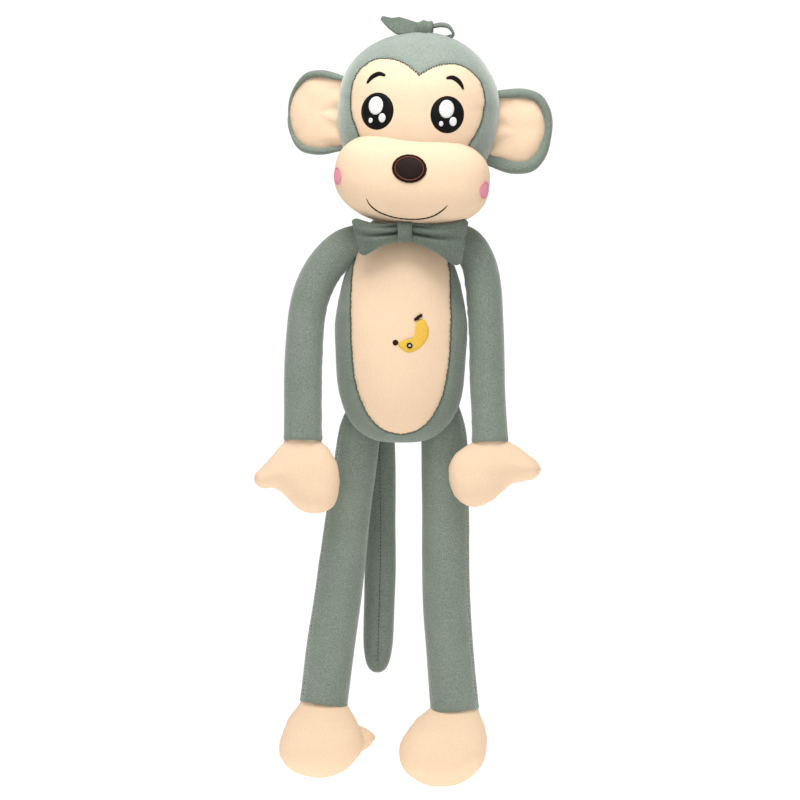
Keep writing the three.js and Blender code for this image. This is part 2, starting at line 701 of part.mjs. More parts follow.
const bendRoom = (radius, degrees) => radius * Math.tan(THREE.MathUtils.degToRad(degrees / 2));
const ballRadius = (radius) => radius - clothWall - jointGap;
for (const side of sides) {
  // The upper sleeve ends in a ball at the elbow, and opens at the shoulder.
  const upper = new THREE.QuadraticBezierCurve3(point(elbow[side]), point(armBow[side]), point(shoulder[side]));
  const arm = () => armRadius;
  addSleeve(`${side}_upper_arm`, upper, arm, {
    start: -armRadius,
    domeHeight: armRadius,
    end: upper.getLength() + sleeveTuck,
    rim: stuffingRim,
  });
  const lower = new THREE.LineCurve3(point(elbow[side]), point(wrist[side]));
  addSleeve(`${side}_forearm`, lower, arm, {
    start: armRadius + jointGap,
    domeHeight: Math.max(bendRoom(armRadius, elbowBendDeg) - armRadius, cuffLength) + cuffLength,
    end: lower.getLength() - mouthClear,
    rim: ballRadius(armRadius) + jointGap,
  });
  const thigh = new THREE.LineCurve3(point(knee[side]), point(hip[side]));
  const thighLength = thigh.getLength();
  const thighRadius = (height) => shareRadius(legRadius.knee, legRadius.top, height / thighLength);
  addSleeve(`${side}_thigh`, thigh, thighRadius, {
    start: -legRadius.knee,
    domeHeight: legRadius.knee,
    end: thighLength + sleeveTuck,
    rim: stuffingRim,
  });
  const shin = new THREE.LineCurve3(point(knee[side]), point(ankle[side]));
  const shinLength = shin.getLength();
  const shinRadius = (height) => shareRadius(legRadius.knee, legRadius.ankle, height / shinLength);
  addSleeve(`${side}_shin`, shin, shinRadius, {
    start: legRadius.knee + jointGap,
    domeHeight: Math.max(bendRoom(legRadius.knee, kneeBendDeg) - legRadius.knee, cuffLength) + cuffLength,
    end: shinLength - mouthClear,
    rim: ballRadius(legRadius.ankle) + jointGap,
  });
}

// A ball that sits in a sleeve's mouth, and a short neck under it, both narrower than the mouth.
function mouthBall(at, radius, inset) {
  const ball = ellipsoid(radius - inset, radius - inset, radius - inset, roundSides, 4);
  const stem = placed(
    new THREE.CylinderGeometry(radius - inset, radius - inset, neckStub, roundSides),
    turn(xAxis, 90),
    move(0, 0, -neckStub / 2),
  );
  return toSolid(placed(ball, move(...at))).add(toSolid(placed(stem, move(...at))));
}
const fillHole = 5; // radius of the opening that the stuffing goes in by
const opening = (at, height) => toSolid(placed(
  new THREE.CylinderGeometry(fillHole, fillHole, height, 6),
  turn(xAxis, 90),
  move(at[0], at[1], at[2] + height / 2),
));

for (const side of sides) {
  const way = outward[side];
  const [wx, wy, wz] = wrist[side];
  const handSolid = (inset) => {
    const palm = placed(
      ellipsoid(palmHalfWidth - inset, palmHalfDepth - inset, palmHalfHeight - inset, 12, 6),
      move(wx + palmInward[side], wy - palmForward, wz - palmDrop),
    );
    const thumb = placed(
      ellipsoid(thumbHalfLength - inset, thumbHalfDepth - inset, thumbHalfWidth - inset, 8, 4),
      turn(yAxis, way * thumbTiltDeg),
      move(wx + palmInward[side] + way * thumbLength, wy - palmForward, wz - thumbDrop),
    );
    const neck = mouthBall(wrist[side], ballRadius(armRadius), inset);
    return neck.add(toSolid(palm)).add(toSolid(thumb));
  };
  const hole = opening(wrist[side], armRadius * 2);
  const mitten = handSolid(0).subtract(handSolid(clothWall)).subtract(hole);
  addPiece(monkey, `${side}_hand`, mitten, cream());
  addPiece(monkey, `${side}_hand_stuffing`, handSolid(clothWall + stuffingGap), fibre());

  const [ax, ay, az] = ankle[side];
  const footSolid = (inset) => {
    const foot = placed(
      ellipsoid(footHalfWidth - inset, footHalfDepth - inset, footHalfHeight - inset, 12, 6),
      move(ax, ay - footForward, az - footDrop),
    );
    const toe = placed(
      ellipsoid(toeHalfLength - inset, toeHalfWidth - inset, toeHalfWidth - inset, 8, 4),
      move(ax - way * toeLength, ay - toeForward, az - toeDrop[side]),
    );
    const neck = mouthBall(ankle[side], ballRadius(legRadius.ankle), inset);
    return neck.add(toSolid(foot)).add(toSolid(toe));
  };
  const shoeHole = opening(ankle[side], legRadius.ankle * 2);
  const foot = footSolid(0).subtract(footSolid(clothWall)).subtract(shoeHole);
  addPiece(monkey, `${side}_foot`, foot, cream());
  addPiece(monkey, `${side}_foot_stuffing`, footSolid(clothWall + stuffingGap), fibre());
}

// ---- tail ----
const tailUpper = new THREE.LineCurve3(point(tailMiddle), point(tailRoot));
addSleeve('tail_base', tailUpper, () => tailRadius, {
  start: -tailRadius,
  domeHeight: tailRadius,
  end: tailUpper.getLength() + sleeveTuck,
  rim: stuffingRim,
});
const tailLower = new THREE.LineCurve3(point(tailTip), point(tailMiddle));
const tailEnd = tailLower.getLength() - Math.max(bendRoom(tailRadius, tailBendDeg), tailRadius * 0.6) - 1;
addSleeve('tail_tip', tailLower, () => tailRadius, {
  domeHeight: tailRadius,
  end: tailEnd,
  rim: tailRadius,
});

export default monkey;
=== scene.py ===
import json
import math

import bmesh
import bpy
from mathutils import Matrix, Vector, noise
from mathutils.bvhtree import BVHTree
from mathutils.kdtree import KDTree


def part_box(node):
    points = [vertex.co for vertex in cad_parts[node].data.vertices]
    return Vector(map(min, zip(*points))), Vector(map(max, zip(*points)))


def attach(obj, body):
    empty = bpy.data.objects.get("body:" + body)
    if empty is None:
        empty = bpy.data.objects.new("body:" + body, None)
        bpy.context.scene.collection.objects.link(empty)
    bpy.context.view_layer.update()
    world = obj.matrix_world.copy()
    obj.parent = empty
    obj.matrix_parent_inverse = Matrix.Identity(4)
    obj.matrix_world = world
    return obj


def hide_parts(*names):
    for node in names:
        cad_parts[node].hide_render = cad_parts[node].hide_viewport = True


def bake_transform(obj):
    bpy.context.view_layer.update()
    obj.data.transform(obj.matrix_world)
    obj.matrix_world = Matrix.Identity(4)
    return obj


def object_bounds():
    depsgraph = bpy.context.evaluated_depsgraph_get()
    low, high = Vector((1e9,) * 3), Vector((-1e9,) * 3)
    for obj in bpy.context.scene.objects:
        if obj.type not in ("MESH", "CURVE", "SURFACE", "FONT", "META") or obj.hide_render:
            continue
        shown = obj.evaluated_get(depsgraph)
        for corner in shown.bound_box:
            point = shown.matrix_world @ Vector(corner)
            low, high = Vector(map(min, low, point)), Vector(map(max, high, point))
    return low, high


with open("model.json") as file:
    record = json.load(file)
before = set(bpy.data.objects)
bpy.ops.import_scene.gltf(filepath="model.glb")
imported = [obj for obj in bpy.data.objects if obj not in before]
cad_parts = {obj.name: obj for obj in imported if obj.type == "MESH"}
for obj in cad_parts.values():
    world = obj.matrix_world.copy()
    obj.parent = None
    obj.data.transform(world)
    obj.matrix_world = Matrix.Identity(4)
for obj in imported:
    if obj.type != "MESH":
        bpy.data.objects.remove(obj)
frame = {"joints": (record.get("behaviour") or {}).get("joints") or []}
cad_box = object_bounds()
scene = bpy.context.scene

# ---- Camera and studio ----
# The toy hangs in front of a white sweep and is seen square on through a long lens, with
# soft boxes in front and a bright room all round, so its shadows are faint.
view_middle = Vector((-0.0217, 0, -0.2863))
view_distance = 6.0
view_height = 0.6208

camera_data = bpy.data.cameras.new("camera")
camera_data.sensor_width = 36
camera_data.lens = camera_data.sensor_width * view_distance / view_height
camera = bpy.data.objects.new("camera", camera_data)
camera.location = view_middle + Vector((0, -view_distance, 0))
camera.rotation_euler = (math.pi / 2, 0, 0)
scene.collection.objects.link(camera)
scene.camera = camera


def soft_box(name, place, size, watts):
    """A square soft box that looks at the toy."""
    light = bpy.data.lights.new(name, "AREA")
    light.size = size
    light.energy = watts
    box = bpy.data.objects.new(name, light)
    box.location = place
    box.rotation_euler = (view_middle - Vector(place)).to_track_quat("-Z", "Y").to_euler()
    scene.collection.objects.link(box)


soft_box("key_box", (-0.9, -1.5, 0.6), 0.9, 3.6)
soft_box("fill_box", (1.3, -1.4, 0.1), 1.2, 0.8)
soft_box("back_box", (0.2, 1.3, 0.9), 1.0, 1.5)
soft_box("top_box", (-0.05, -0.4, 0.56), 0.5, 8)


def linear(hex_colour):
    """An sRGB hex colour as linear light."""
    parts = [int(hex_colour[i:i + 2], 16) / 255 for i in (1, 3, 5)]
    return (*[c / 12.92 if c <= 0.04045 else ((c + 0.055) / 1.055) ** 2.4 for c in parts], 1.0)


world = bpy.data.worlds.new("white_room")
scene.world = world
world.use_nodes = True
world.node_tree.nodes["Background"].inputs["Color"].default_value = linear("#ffffff")
world.node_tree.nodes["Background"].inputs["Strength"].default_value = 0.72
scene.view_settings.view_transform = "Standard"
scene.view_settings.look = "None"


def add_node(material, kind, settings, inputs):
    """Adds a node with its own settings, and inputs that are numbers, colours or other sockets."""
    tree = material.node_tree
    node = tree.nodes.new(kind)
    for name, value in settings.items():
        setattr(node, name, value)
    for name, value in inputs.items():
        if isinstance(value, bpy.types.NodeSocket):
            tree.links.new(value, node.inputs[name])
        else:
            node.inputs[name].default_value = value
    return node


def empty_material(name):
    """A material with only its output."""
    material = bpy.data.materials.new(name)
    material.use_nodes = True
    material.node_tree.nodes.clear()
    return material


# Painted board: matt and almost white, with the faint mottle of a roller.
floor_paint = empty_material("white_board")
mottle = add_node(floor_paint, "ShaderNodeTexNoise", {}, {"Scale": 60.0, "Detail": 3.0})
board_shade = add_node(floor_paint, "ShaderNodeMix", {"data_type": "RGBA"}, {
    "Factor": mottle.outputs["Fac"], 6: linear("#fbfbfa"), 7: linear("#ffffff")})
board = add_node(floor_paint, "ShaderNodeBsdfPrincipled", {}, {
    "Base Color": board_shade.outputs[2], "Roughness": 0.9, "Emission Color": linear("#ffffff"),
    "Emission Strength": 0.5})
add_node(floor_paint, "ShaderNodeOutputMaterial", {}, {"Surface": board.outputs[0]})

# Lit paper: an even white, brighter than the room.
paper = empty_material("white_paper")
glow = add_node(paper, "ShaderNodeEmission", {}, {"Color": linear("#ffffff"), "Strength": 1.05})
add_node(paper, "ShaderNodeOutputMaterial", {}, {"Surface": glow.outputs[0]})
paper_reach, paper_distance = 1.6, 9.0
paper_mesh = bpy.data.meshes.new("paper_backdrop")
corners = [(-1, -1), (1, -1), (1, 1), (-1, 1)]
paper_mesh.from_pydata(
    [(x * paper_reach, paper_distance, y * paper_reach) for x, y in corners], [], [(0, 1, 2, 3)])
backdrop = bpy.data.objects.new("paper_backdrop", paper_mesh)
backdrop.data.materials.append(paper)
scene.collection.objects.link(backdrop)

floor_reach = 0.8
floor_gap = 0.012
floor_height = cad_box[0][2] - floor_gap
floor_mesh = bpy.data.meshes.new("floor")
floor_mesh.from_pydata(
    [(x * floor_reach, y * floor_reach, floor_height) for x, y in corners], [], [(0, 1, 2, 3)])
floor = bpy.data.objects.new("floor", floor_mesh)
floor.data.materials.append(floor_paint)
scene.collection.objects.link(floor)

# ---- Head ----
# An egg of velvet in gussets with a heart-topped cream face panel set into it, sewn with a
# visible dark stitch, and stuffed firmly. It leans and turns a little on the neck.
MM = 0.001


# The body is short crystal velvet: polyester pile about 1.5 mm high on a knitted backing.
# The pile ends catch the light as a fine speckle, the nap drifts in soft lighter and darker
# areas, and edges seen along the surface look frosted.
def plush(name, deep, pale, speckle, height, sheen, frost):
    """Short pile cloth between a deep and a pale colour, with a speckle of a real size."""
    cloth = empty_material(name)
    where = add_node(cloth, "ShaderNodeTexCoord", {}, {}).outputs["Object"]
    # Tufts are 0.7 to 1 mm apart on the real cloth.
    tufts = add_node(cloth, "ShaderNodeTexNoise", {}, {
        "Vector": where, "Scale": speckle, "Detail": 4.0, "Roughness": 0.7})
    # Areas of brushed nap are 15 to 30 mm across.
    nap = add_node(cloth, "ShaderNodeTexNoise", {}, {"Vector": where, "Scale": 45.0, "Detail": 3.0})
    ends = add_node(cloth, "ShaderNodeMapRange", {}, {
        "Value": tufts.outputs["Fac"], "From Min": 0.38, "From Max": 0.62})
    drift = add_node(cloth, "ShaderNodeMapRange", {}, {
        "Value": nap.outputs["Fac"], "From Min": 0.3, "From Max": 0.7, "To Min": -0.1, "To Max": 0.1})
    blend = add_node(cloth, "ShaderNodeMath", {"operation": "ADD", "use_clamp": True}, {
        0: ends.outputs[0], 1: drift.outputs[0]})
    shade = add_node(cloth, "ShaderNodeMix", {"data_type": "RGBA"}, {
        "Factor": blend.outputs[0], 6: linear(deep), 7: linear(pale)})
    relief = add_node(cloth, "ShaderNodeBump", {}, {
        "Height": tufts.outputs["Fac"], "Strength": 0.6, "Distance": height})
    surface = add_node(cloth, "ShaderNodeBsdfPrincipled", {}, {
        "Base Color": shade.outputs[2], "Roughness": 0.92, "IOR": 1.45, "Specular IOR Level": 0.15,
        "Sheen Weight": sheen, "Sheen Roughness": 0.32, "Sheen Tint": linear(frost),
        "Normal": relief.outputs[0]})
    add_node(cloth, "ShaderNodeOutputMaterial", {}, {"Surface": surface.outputs[0]})
    return cloth


# The head's cover is the body's velvet with its colour painted paler, painted light standing in for the light
# that falls on the top of the head; its sheen is also stronger.
painted_lit_head_cloth = plush("sage_velvet_head_painted_lit", "#747e75", "#929c92", 1200.0, 0.0007, 1.0, "#f6f9f5")
cream_cloth = plush("cream_velvet", "#d5b99c", "#dec4a8", 1500.0, 0.0004, 0.12, "#ffe9d2")
# Loose polyester fibre, bright and cloudy.
fibre_fill = plush("polyester_fibre", "#dedcd4", "#f7f6f2", 300.0, 0.0015, 0.3, "#ffffff")

# Polyester sewing and embroidery thread: smooth, with a soft gloss along each strand, which is partly a
# painted highlight: each row's crest takes a lighter colour.
# Satin stitches lie side by side 0.4 mm apart; they are drawn at 0.7 mm so that they show.
stitch_pitch = 0.7


def thread(name, colour, lit, across=(1, 0, 0.35)):
    """Satin stitches of one colour, laid across a direction."""
    yarn = empty_material(name)
    where = add_node(yarn, "ShaderNodeTexCoord", {}, {}).outputs["Object"]
    lean = math.atan2(across[2], across[0])
    turned = add_node(yarn, "ShaderNodeMapping", {}, {"Vector": where, "Rotation": (0, lean, 0)})
    rows = add_node(yarn, "ShaderNodeTexWave", {"bands_direction": "Z", "wave_profile": "SIN"}, {
        "Vector": turned.outputs[0], "Scale": 1 / (20 * stitch_pitch * MM) * 6.283 * 0.5, "Distortion": 0.6,
        "Detail": 1.0, "Detail Scale": 2.0})
    # Painted highlight: the crest of each row of stitches is mixed towards the lighter colour.
    shade = add_node(yarn, "ShaderNodeMix", {"data_type": "RGBA"}, {
        "Factor": rows.outputs["Fac"], 6: linear(colour), 7: linear(lit)})
    relief = add_node(yarn, "ShaderNodeBump", {}, {
        "Height": rows.outputs["Fac"], "Strength": 0.5, "Distance": 0.0003})
    surface = add_node(yarn, "ShaderNodeBsdfPrincipled", {}, {
        "Base Color": shade.outputs[2], "Roughness": 0.55, "Specular IOR Level": 0.12,
        "Sheen Weight": 0.01, "Normal": relief.outputs[0]})
    add_node(yarn, "ShaderNodeOutputMaterial", {}, {"Surface": surface.outputs[0]})
    return yarn


seam_thread = thread("seam_thread", "#38423b", "#525d54")


# Every cover is cut from flat panels, sewn inside out, turned and stuffed through an opening.
# It is modelled as rings of points, swells as cloth under the stuffing's pressure, and then
# has its seams drawn in.
def skin(rings):
    """Points and faces of the surface through closed rings; a ring of one point closes it."""
    points, faces, starts = [], [], []
    for ring in rings:
        starts.append(len(points))
        points.extend(ring)
    for a, b, first_a, first_b in zip(rings, rings[1:], starts, starts[1:]):
        count = max(len(a), len(b))
        for i in range(count):
            j = (i + 1) % count
            if len(a) == 1:
                faces.append((first_a, first_b + j, first_b + i))
            elif len(b) == 1:
                faces.append((first_a + i, first_a + j, first_b))
            else:
                faces.append((first_a + i, first_a + j, first_b + j, first_b + i))
    return points, faces, starts


def new_piece(name, points, faces, *materials):
    """A mesh object with smooth faces that all look outwards."""
    mesh = bpy.data.meshes.new(name)
    mesh.from_pydata(points, [], faces)
    mesh.update()
    piece = bpy.data.objects.new(name, mesh)
    for material in materials:
        mesh.materials.append(material)
    scene.collection.objects.link(piece)
    shape = bmesh.new()
    shape.from_mesh(mesh)
    bmesh.ops.recalc_face_normals(shape, faces=shape.faces)
    shape.to_mesh(mesh)
    shape.free()
    mesh.polygons.foreach_set("use_smooth", [True] * len(mesh.polygons))
    return piece


def stuff(piece, seam, pressure=4.0, cap=2.5 * MM):
    """Swells a cover as cloth filled under pressure, held along its seam points."""
    mesh = piece.data
    before = [v.co.copy() for v in mesh.vertices]
    held = piece.vertex_groups.new(name="held")
    held.add(list(seam), 1.0, "REPLACE")
    cloth = piece.modifiers.new("Cloth", "CLOTH")
    cloth.settings.use_pressure = True
    cloth.settings.uniform_pressure_force = pressure
    cloth.settings.vertex_group_mass = held.name
    cloth.settings.effector_weights.gravity = 0
    cloth.settings.quality = 4
    for step in range(1, 16):
        scene.frame_set(step)
    swollen = piece.evaluated_get(bpy.context.evaluated_depsgraph_get()).to_mesh()
    for vertex, start, end in zip(mesh.vertices, before, swollen.vertices):
        move = end.co - start
        vertex.co = start + move * min(1.0, cap / max(move.length, 1e-9))
    piece.modifiers.remove(cloth)
    piece.vertex_groups.remove(held)
    scene.frame_set(1)
    mesh.update()


def press(piece, seam_points, depth, width, pucker=0.0):
    """Draws the cloth in along a seam, with small puckers beside it."""
    tree = KDTree(len(seam_points))
    for i, point in enumerate(seam_points):
        tree.insert(point, i)
    tree.balance()
    moves = []
    for vertex in piece.data.vertices:
        _, index, distance = tree.find(vertex.co)
        near = math.exp(-(distance / width) ** 2)
        wide = math.exp(-(distance / (3.2 * width)) ** 2)
        ripple = pucker * wide * noise.noise(vertex.co * 170 + Vector((index * 0.35, 0, 0)))
        moves.append(vertex.normal * (ripple - depth * near))
    for vertex, move in zip(piece.data.vertices, moves):
        vertex.co += move
    piece.data.update()


def soften(piece, height, size):
    """Uneven filling: broad low lumps over the whole cover."""
    moves = [v.normal * height * noise.noise(v.co / size) for v in piece.data.vertices]
    for vertex, move in zip(piece.data.vertices, moves):
        vertex.co += move
    piece.data.update()


def panel(piece, name, index):
    """One panel of a sewn cover as its own piece: the faces of one material."""
    part = bpy.data.objects.new(name, piece.data.copy())
    scene.collection.objects.link(part)
    shape = bmesh.new()
    shape.from_mesh(part.data)
    others = [face for face in shape.faces if face.material_index != index]
    bmesh.ops.delete(shape, geom=others, context="FACES")
    shape.to_mesh(part.data)
    shape.free()
    keep = piece.data.materials[index]
    part.data.materials.clear()
    part.data.materials.append(keep)
    part.data.polygons.foreach_set("material_index", [0] * len(part.data.polygons))
    return part


def filling(name, points, faces, middle, share):
    """The stuffing inside a cover: the cover's own shape, drawn in towards its middle."""
    return new_piece(name, [middle.lerp(Vector(p), share) for p in points], faces, fibre_fill)


def along(piece, ids):
    """The point and the normal at each of a cover's vertices along a seam."""
    vertices = piece.data.vertices
    return [(vertices[i].co.copy(), vertices[i].normal.copy()) for i in ids]


def stands_for(piece, slot, *nodes):
    """Hides the CAD nodes whose place the piece takes; the piece and the slot are not used."""
    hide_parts(*nodes)


def smooth_path(points, count, closed=False):
    """Evenly many points on a smooth curve through the given ones."""
    points = [Vector(p) for p in points]
    last = len(points) if closed else len(points) - 1
    result = []
    for i in range(count):
        spot = i * last / (count if closed else count - 1)
        k = min(int(spot), last - 1)
        t = spot - k
        if closed:
            a, b, c, d = (points[(k + n) % len(points)] for n in (-1, 0, 1, 2))
        else:
            a, b, c, d = (points[min(max(k + n, 0), len(points) - 1)] for n in (-1, 0, 1, 2))
        result.append(0.5 * (2 * b + (c - a) * t + (2 * a - 5 * b + 4 * c - d) * t * t
                             + (3 * b - a - 3 * c + d) * t ** 3))
    return result


def mirrored(half, count):
    """A closed outline from one half of it, smoothed and turned over."""
    side = [(p.x, p.y) for p in smooth_path(half, count)]
    return side + [(-x, z) for x, z in reversed(side[1:-1])]


def sewn_line(name, path, normals, material, pitch, length, radius, slant=0.0, closed=False):
    """A row of stitches: short bent strands whose ends go down into the cloth."""
    legs = [(b - a).length for a, b in zip(path, path[1:] + path[:1])]
    if not closed:
        legs = legs[:-1]
    points, faces = [], []
    travelled, due, count = 0.0, 0.0, 0
    for k, leg in enumerate(legs):
        a, b = path[k], path[(k + 1) % len(path)]
        while due < travelled + leg:
            t = (due - travelled) / max(leg, 1e-9)
            up = normals[k].lerp(normals[(k + 1) % len(path)], t).normalized()
            along = (b - a).normalized()
            lean = Matrix.Rotation(slant if count % 2 else -slant, 3, up)
            along = lean @ along
            side = up.cross(along).normalized()
            middle = a.lerp(b, t)
            first = len(points)
            for ring in range(5):
                share = ring / 2 - 1
                dip = up * radius * (0.9 - 2.2 * share * share)
                girth = radius * (1 - 0.45 * share * share)
                for corner in range(6):
                    angle = corner * math.pi / 3
                    points.append(middle + along * share * length / 2 + dip
                                  + (side * math.cos(angle) + up * math.sin(angle)) * girth)
            for ring in range(4):
                for corner in range(6):
                    after = (corner + 1) % 6
                    low = first + ring * 6
                    faces.append((low + corner, low + after, low + 6 + after, low + 6 + corner))
            due += pitch
            count += 1
        travelled += leg
    return new_piece(name, points, faces, material)


def surface_of(*covers):
    """A search tree over covers, to lay embroidery on them."""
    points, faces = [], []
    for cover in covers:
        first = len(points)
        points.extend(v.co.copy() for v in cover.data.vertices)
        faces.extend([first + i for i in p.vertices] for p in cover.data.polygons)
    return BVHTree.FromPolygons(points, faces)


def panelled(form, front_way, outline, panel_rings, rest_rings):
    """Rings over a closed form, from a panel's middle out to its seam and on to the far side."""
    def between(a, b, share):
        angle = a.angle(b)
        if angle < 1e-6:
            return a.copy()
        return (a * math.sin((1 - share) * angle) + b * math.sin(share * angle)) / math.sin(angle)

    rings = [[form(front_way)]]
    for k in range(1, panel_rings + 1):
        share = 1 - (1 - k / panel_rings) ** 1.5
        rings.append([form(between(front_way, way, share)) for way in outline])
    for k in range(1, rest_rings):
        share = (k / rest_rings) ** 1.4
        rings.append([form(between(way, -front_way, share)) for way in outline])
    rings.append([form(-front_way)])
    return rings


egg_low, egg_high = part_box("head_stuffing")
head_half_width, head_half_depth = 62.6, 53.2
head_top, head_bottom = 58.8, 78.0
head_lean = Matrix.Rotation(math.radians(5.5), 4, "Y") @ Matrix.Rotation(math.radians(-2.5), 4, "Z")
head_middle = Vector(((egg_low[0] + egg_high[0]) / 2 + 0.0009, 0, egg_high[2] - 0.0574))
head_stand = Matrix.Translation(head_middle) @ head_lean @ Matrix.Scale(MM, 4)


def head_form(way):
    """The head's surface along a way out from its middle."""
    height = head_top if way.z > 0 else head_bottom
    fullness = 1 + 0.02 * (1 - abs(way.z)) * abs(way.z) * 4
    return head_stand @ Vector((way.x * head_half_width * fullness, way.y * head_half_depth * fullness,
                                way.z * height))


face_half = [(0, 23.5), (6, 28), (14, 32.5), (25, 34.8), (37, 32), (46.5, 23.5), (51.5, 12), (52.3, 1),
             (50, -11), (46, -20), (41, -30), (34, -41), (20, -51), (0, -55)]
face_outline = mirrored(face_half, 80)
face_ways = []
for x, z in face_outline:
    a, c = x / head_half_width, z / (head_top if z > 0 else head_bottom)
    face_ways.append(Vector((a, -math.sqrt(max(1 - a * a - c * c, 0.0)), c)).normalized())
face_middle_way = Vector((0, -1, -0.12)).normalized()
head_rings = panelled(head_form, face_middle_way, face_ways, 14, 24)
points, faces, starts = skin(head_rings)
head_core = filling("head_stuffing_fibre", points, faces, head_middle, 0.93)
# The head cover takes the velvet painted paler: painted light from above.
head_whole = new_piece("head_whole", points, faces, cream_cloth, painted_lit_head_cloth)
seam_start = starts[14]
for face in head_whole.data.polygons:
    face.material_index = 0 if max(face.vertices) < starts[15] and min(face.vertices) < seam_start else 1
face_seam = range(seam_start, seam_start + len(face_ways))
stuff(head_whole, face_seam)
soften(head_whole, 0.9 * MM, 0.035)
# The crown's gusset seam runs from the notch over the top and down the back.
crown_seam = []
for k in range(60):
    angle = math.radians(-66 + k * 4)
    crown_seam.append(head_form(Vector((0, math.sin(angle), math.cos(angle))).normalized()))
press(head_whole, crown_seam, 0.4 * MM, 1.6 * MM, 0.3 * MM)
press(head_whole, [p for p, _ in along(head_whole, face_seam)], 1.3 * MM, 2.0 * MM, 0.8 * MM)
seam_line = along(head_whole, face_seam)
head_cloth = surface_of(head_whole)

face = panel(head_whole, "face_panel_cloth", 0)
stands_for(face, "cream_plush", "face_panel")
head_cover = panel(head_whole, "head_cover_cloth", 1)
stands_for(head_cover, "green_plush", "head_cover")
stands_for(head_core, "stuffing", "head_stuffing")
face_stitches = sewn_line("face_seam_stitches", [p + n * 0.6 * MM for p, n in seam_line],
                          [n for _, n in seam_line], seam_thread, 2.3 * MM, 1.9 * MM, 0.5 * MM, 0.6, True)
for piece in (face, head_cover, head_core, face_stitches):
    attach(piece, "head")
bpy.data.objects.remove(head_whole)

# ---- Eyes and brows ----
# Satin-stitched black ovals with three white glints in each, and a tapered black arc above.
black_thread = thread("black_thread", "#020202", "#070607")
white_thread = thread("white_thread", "#c9c8c6", "#dddcda")


def run_at(path, k):
    """The way a path runs at one of its points."""
    return (path[min(k + 1, len(path) - 1)] - path[max(k - 1, 0)]).normalized()


def laid_on(cloth, stand, x, z):
    """Where a needle pushed straight in at x, z of a stand meets the cloth, and the cloth's normal."""
    aim = (stand.to_3x3() @ Vector((0, 1, 0))).normalized()
    spot, normal, _, _ = cloth.ray_cast(stand @ Vector((x, -200, z)), aim)
    if spot is None:
        spot, normal, _, _ = cloth.find_nearest(stand @ Vector((x, -30, z)))
    if normal.dot(aim) > 0:
        normal = -normal
    return spot, normal


def embroider(name, cloth, stand, outline, material, body, lift=0.7, rise=0.0, rings=6):
    """A satin-stitched patch inside an outline, domed, with its edge down in the cloth."""
    middle = sum(outline, Vector((0, 0))) / len(outline)
    layers = []
    for k in range(rings + 1):
        share = k / rings
        height = (rise + lift * (1 - share ** 5)) * MM
        ring = []
        for corner in (outline if k else outline[:1]):
            x, z = middle.lerp(corner, share)
            spot, normal = laid_on(cloth, stand, x, z)
            ring.append(spot + normal * height)
        layers.append(ring)
    edge = []
    for corner in outline:
        spot, normal = laid_on(cloth, stand, *corner)
        edge.append(spot - normal * 0.6 * MM)
    layers.append(edge)
    points, faces, _ = skin(layers)
    piece = new_piece(name, points, faces, material)
    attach(piece, body)
    return piece


def oval(x, z, half_width, half_height, lean=0.0, count=48):
    """An oval outline, leaning by an angle."""
    ring = []
    for i in range(count):
        angle = i * math.tau / count
        a, b = math.cos(angle) * half_width, math.sin(angle) * half_height
        ring.append(Vector((x + a * math.cos(lean) - b * math.sin(lean),
                            z + a * math.sin(lean) + b * math.cos(lean))))
    return ring


eye_x, eye_z = 27.1, -5.3
glints = [("big", -1.1, 4.2, 5.6, 7.0), ("middle", 4.6, -4.8, 2.7, 3.5), ("small", -4.1, -7.4, 1.6, 2.0)]
for side, way, off_x, off_z in (("right", -1, -2.4, -2.3), ("left", 1, -2.6, 0.0)):
    at_x, at_z = way * eye_x + off_x, eye_z + off_z
    eye = embroider(f"{side}_eye_stitching", head_cloth, head_stand, oval(at_x, at_z, 12.8, 14.4),
                    black_thread, "head", lift=1.0)
    stands_for(eye, "black_thread", f"{side}_eye")
    for label, x, z, a, b in glints:
        embroider(f"{side}_eye_glint_{label}", head_cloth, head_stand,
                  oval(at_x + x, at_z + z, a, b, 0.0, 28), white_thread, "head", lift=0.5, rise=1.0)
    arc = smooth_path([(23.5, 22.6), (28.2, 23.7), (32.5, 21.8), (35.4, 18.8), (37.2, 15.6)], 24)
    upper, lower = [], []
    for k, spot in enumerate(arc):
        share = k / (len(arc) - 1)
        run = run_at(arc, k)
        half = 2.15 * (0.35 + 0.65 * math.sin(math.pi * share ** 0.8))
        upper.append(Vector((way * (spot.x - run.y * half) + off_x, spot.y + run.x * half + off_z)))
        lower.append(Vector((way * (spot.x + run.y * half) + off_x, spot.y - run.x * half + off_z)))
    brow_rows = []
    for outer, inner in zip(upper, lower):
        cross = []
        for share, height in ((0, -0.4), (0.12, 0.45), (0.5, 0.9), (0.88, 0.45), (1, -0.4)):
            spot, normal = laid_on(head_cloth, head_stand, *outer.lerp(inner, share))
            cross.append(spot + normal * height * MM)
        brow_rows.append(cross)
    points = [p for cross in brow_rows for p in cross]
    faces = [(5 * k + n, 5 * k + n + 1, 5 * k + n + 6, 5 * k + n + 5)
             for k in range(len(brow_rows) - 1) for n in range(4)]
    brow = new_piece(f"{side}_brow_stitching", points, faces, black_thread)
    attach(brow, "head")
    stands_for(brow, "black_thread", f"{side}_brow")

# ---- Muzzle ----
# A wide cream cushion sewn over the lower face, flatter along its top than its chin.
muzzle_middle = Vector((1.3, -28, -57))
muzzle_half = Vector((60.3, 33.5, 35.8))


def muzzle_form(way):
    """The muzzle's surface: a cushion a little squarer than an egg."""
    rise = max(0.0, min(1.0, (way.z + 0.5) / 1.0))
    power = 2.35 + 0.3 * rise * rise * (3 - 2 * rise)
    reach = (abs(way.x) ** power + abs(way.y) ** 2.2 + abs(way.z) ** power) ** (-1 / power)
    spot = Vector((way.x * muzzle_half.x, way.y * muzzle_half.y, way.z * muzzle_half.z)) * reach
    return head_stand @ (muzzle_middle + spot)


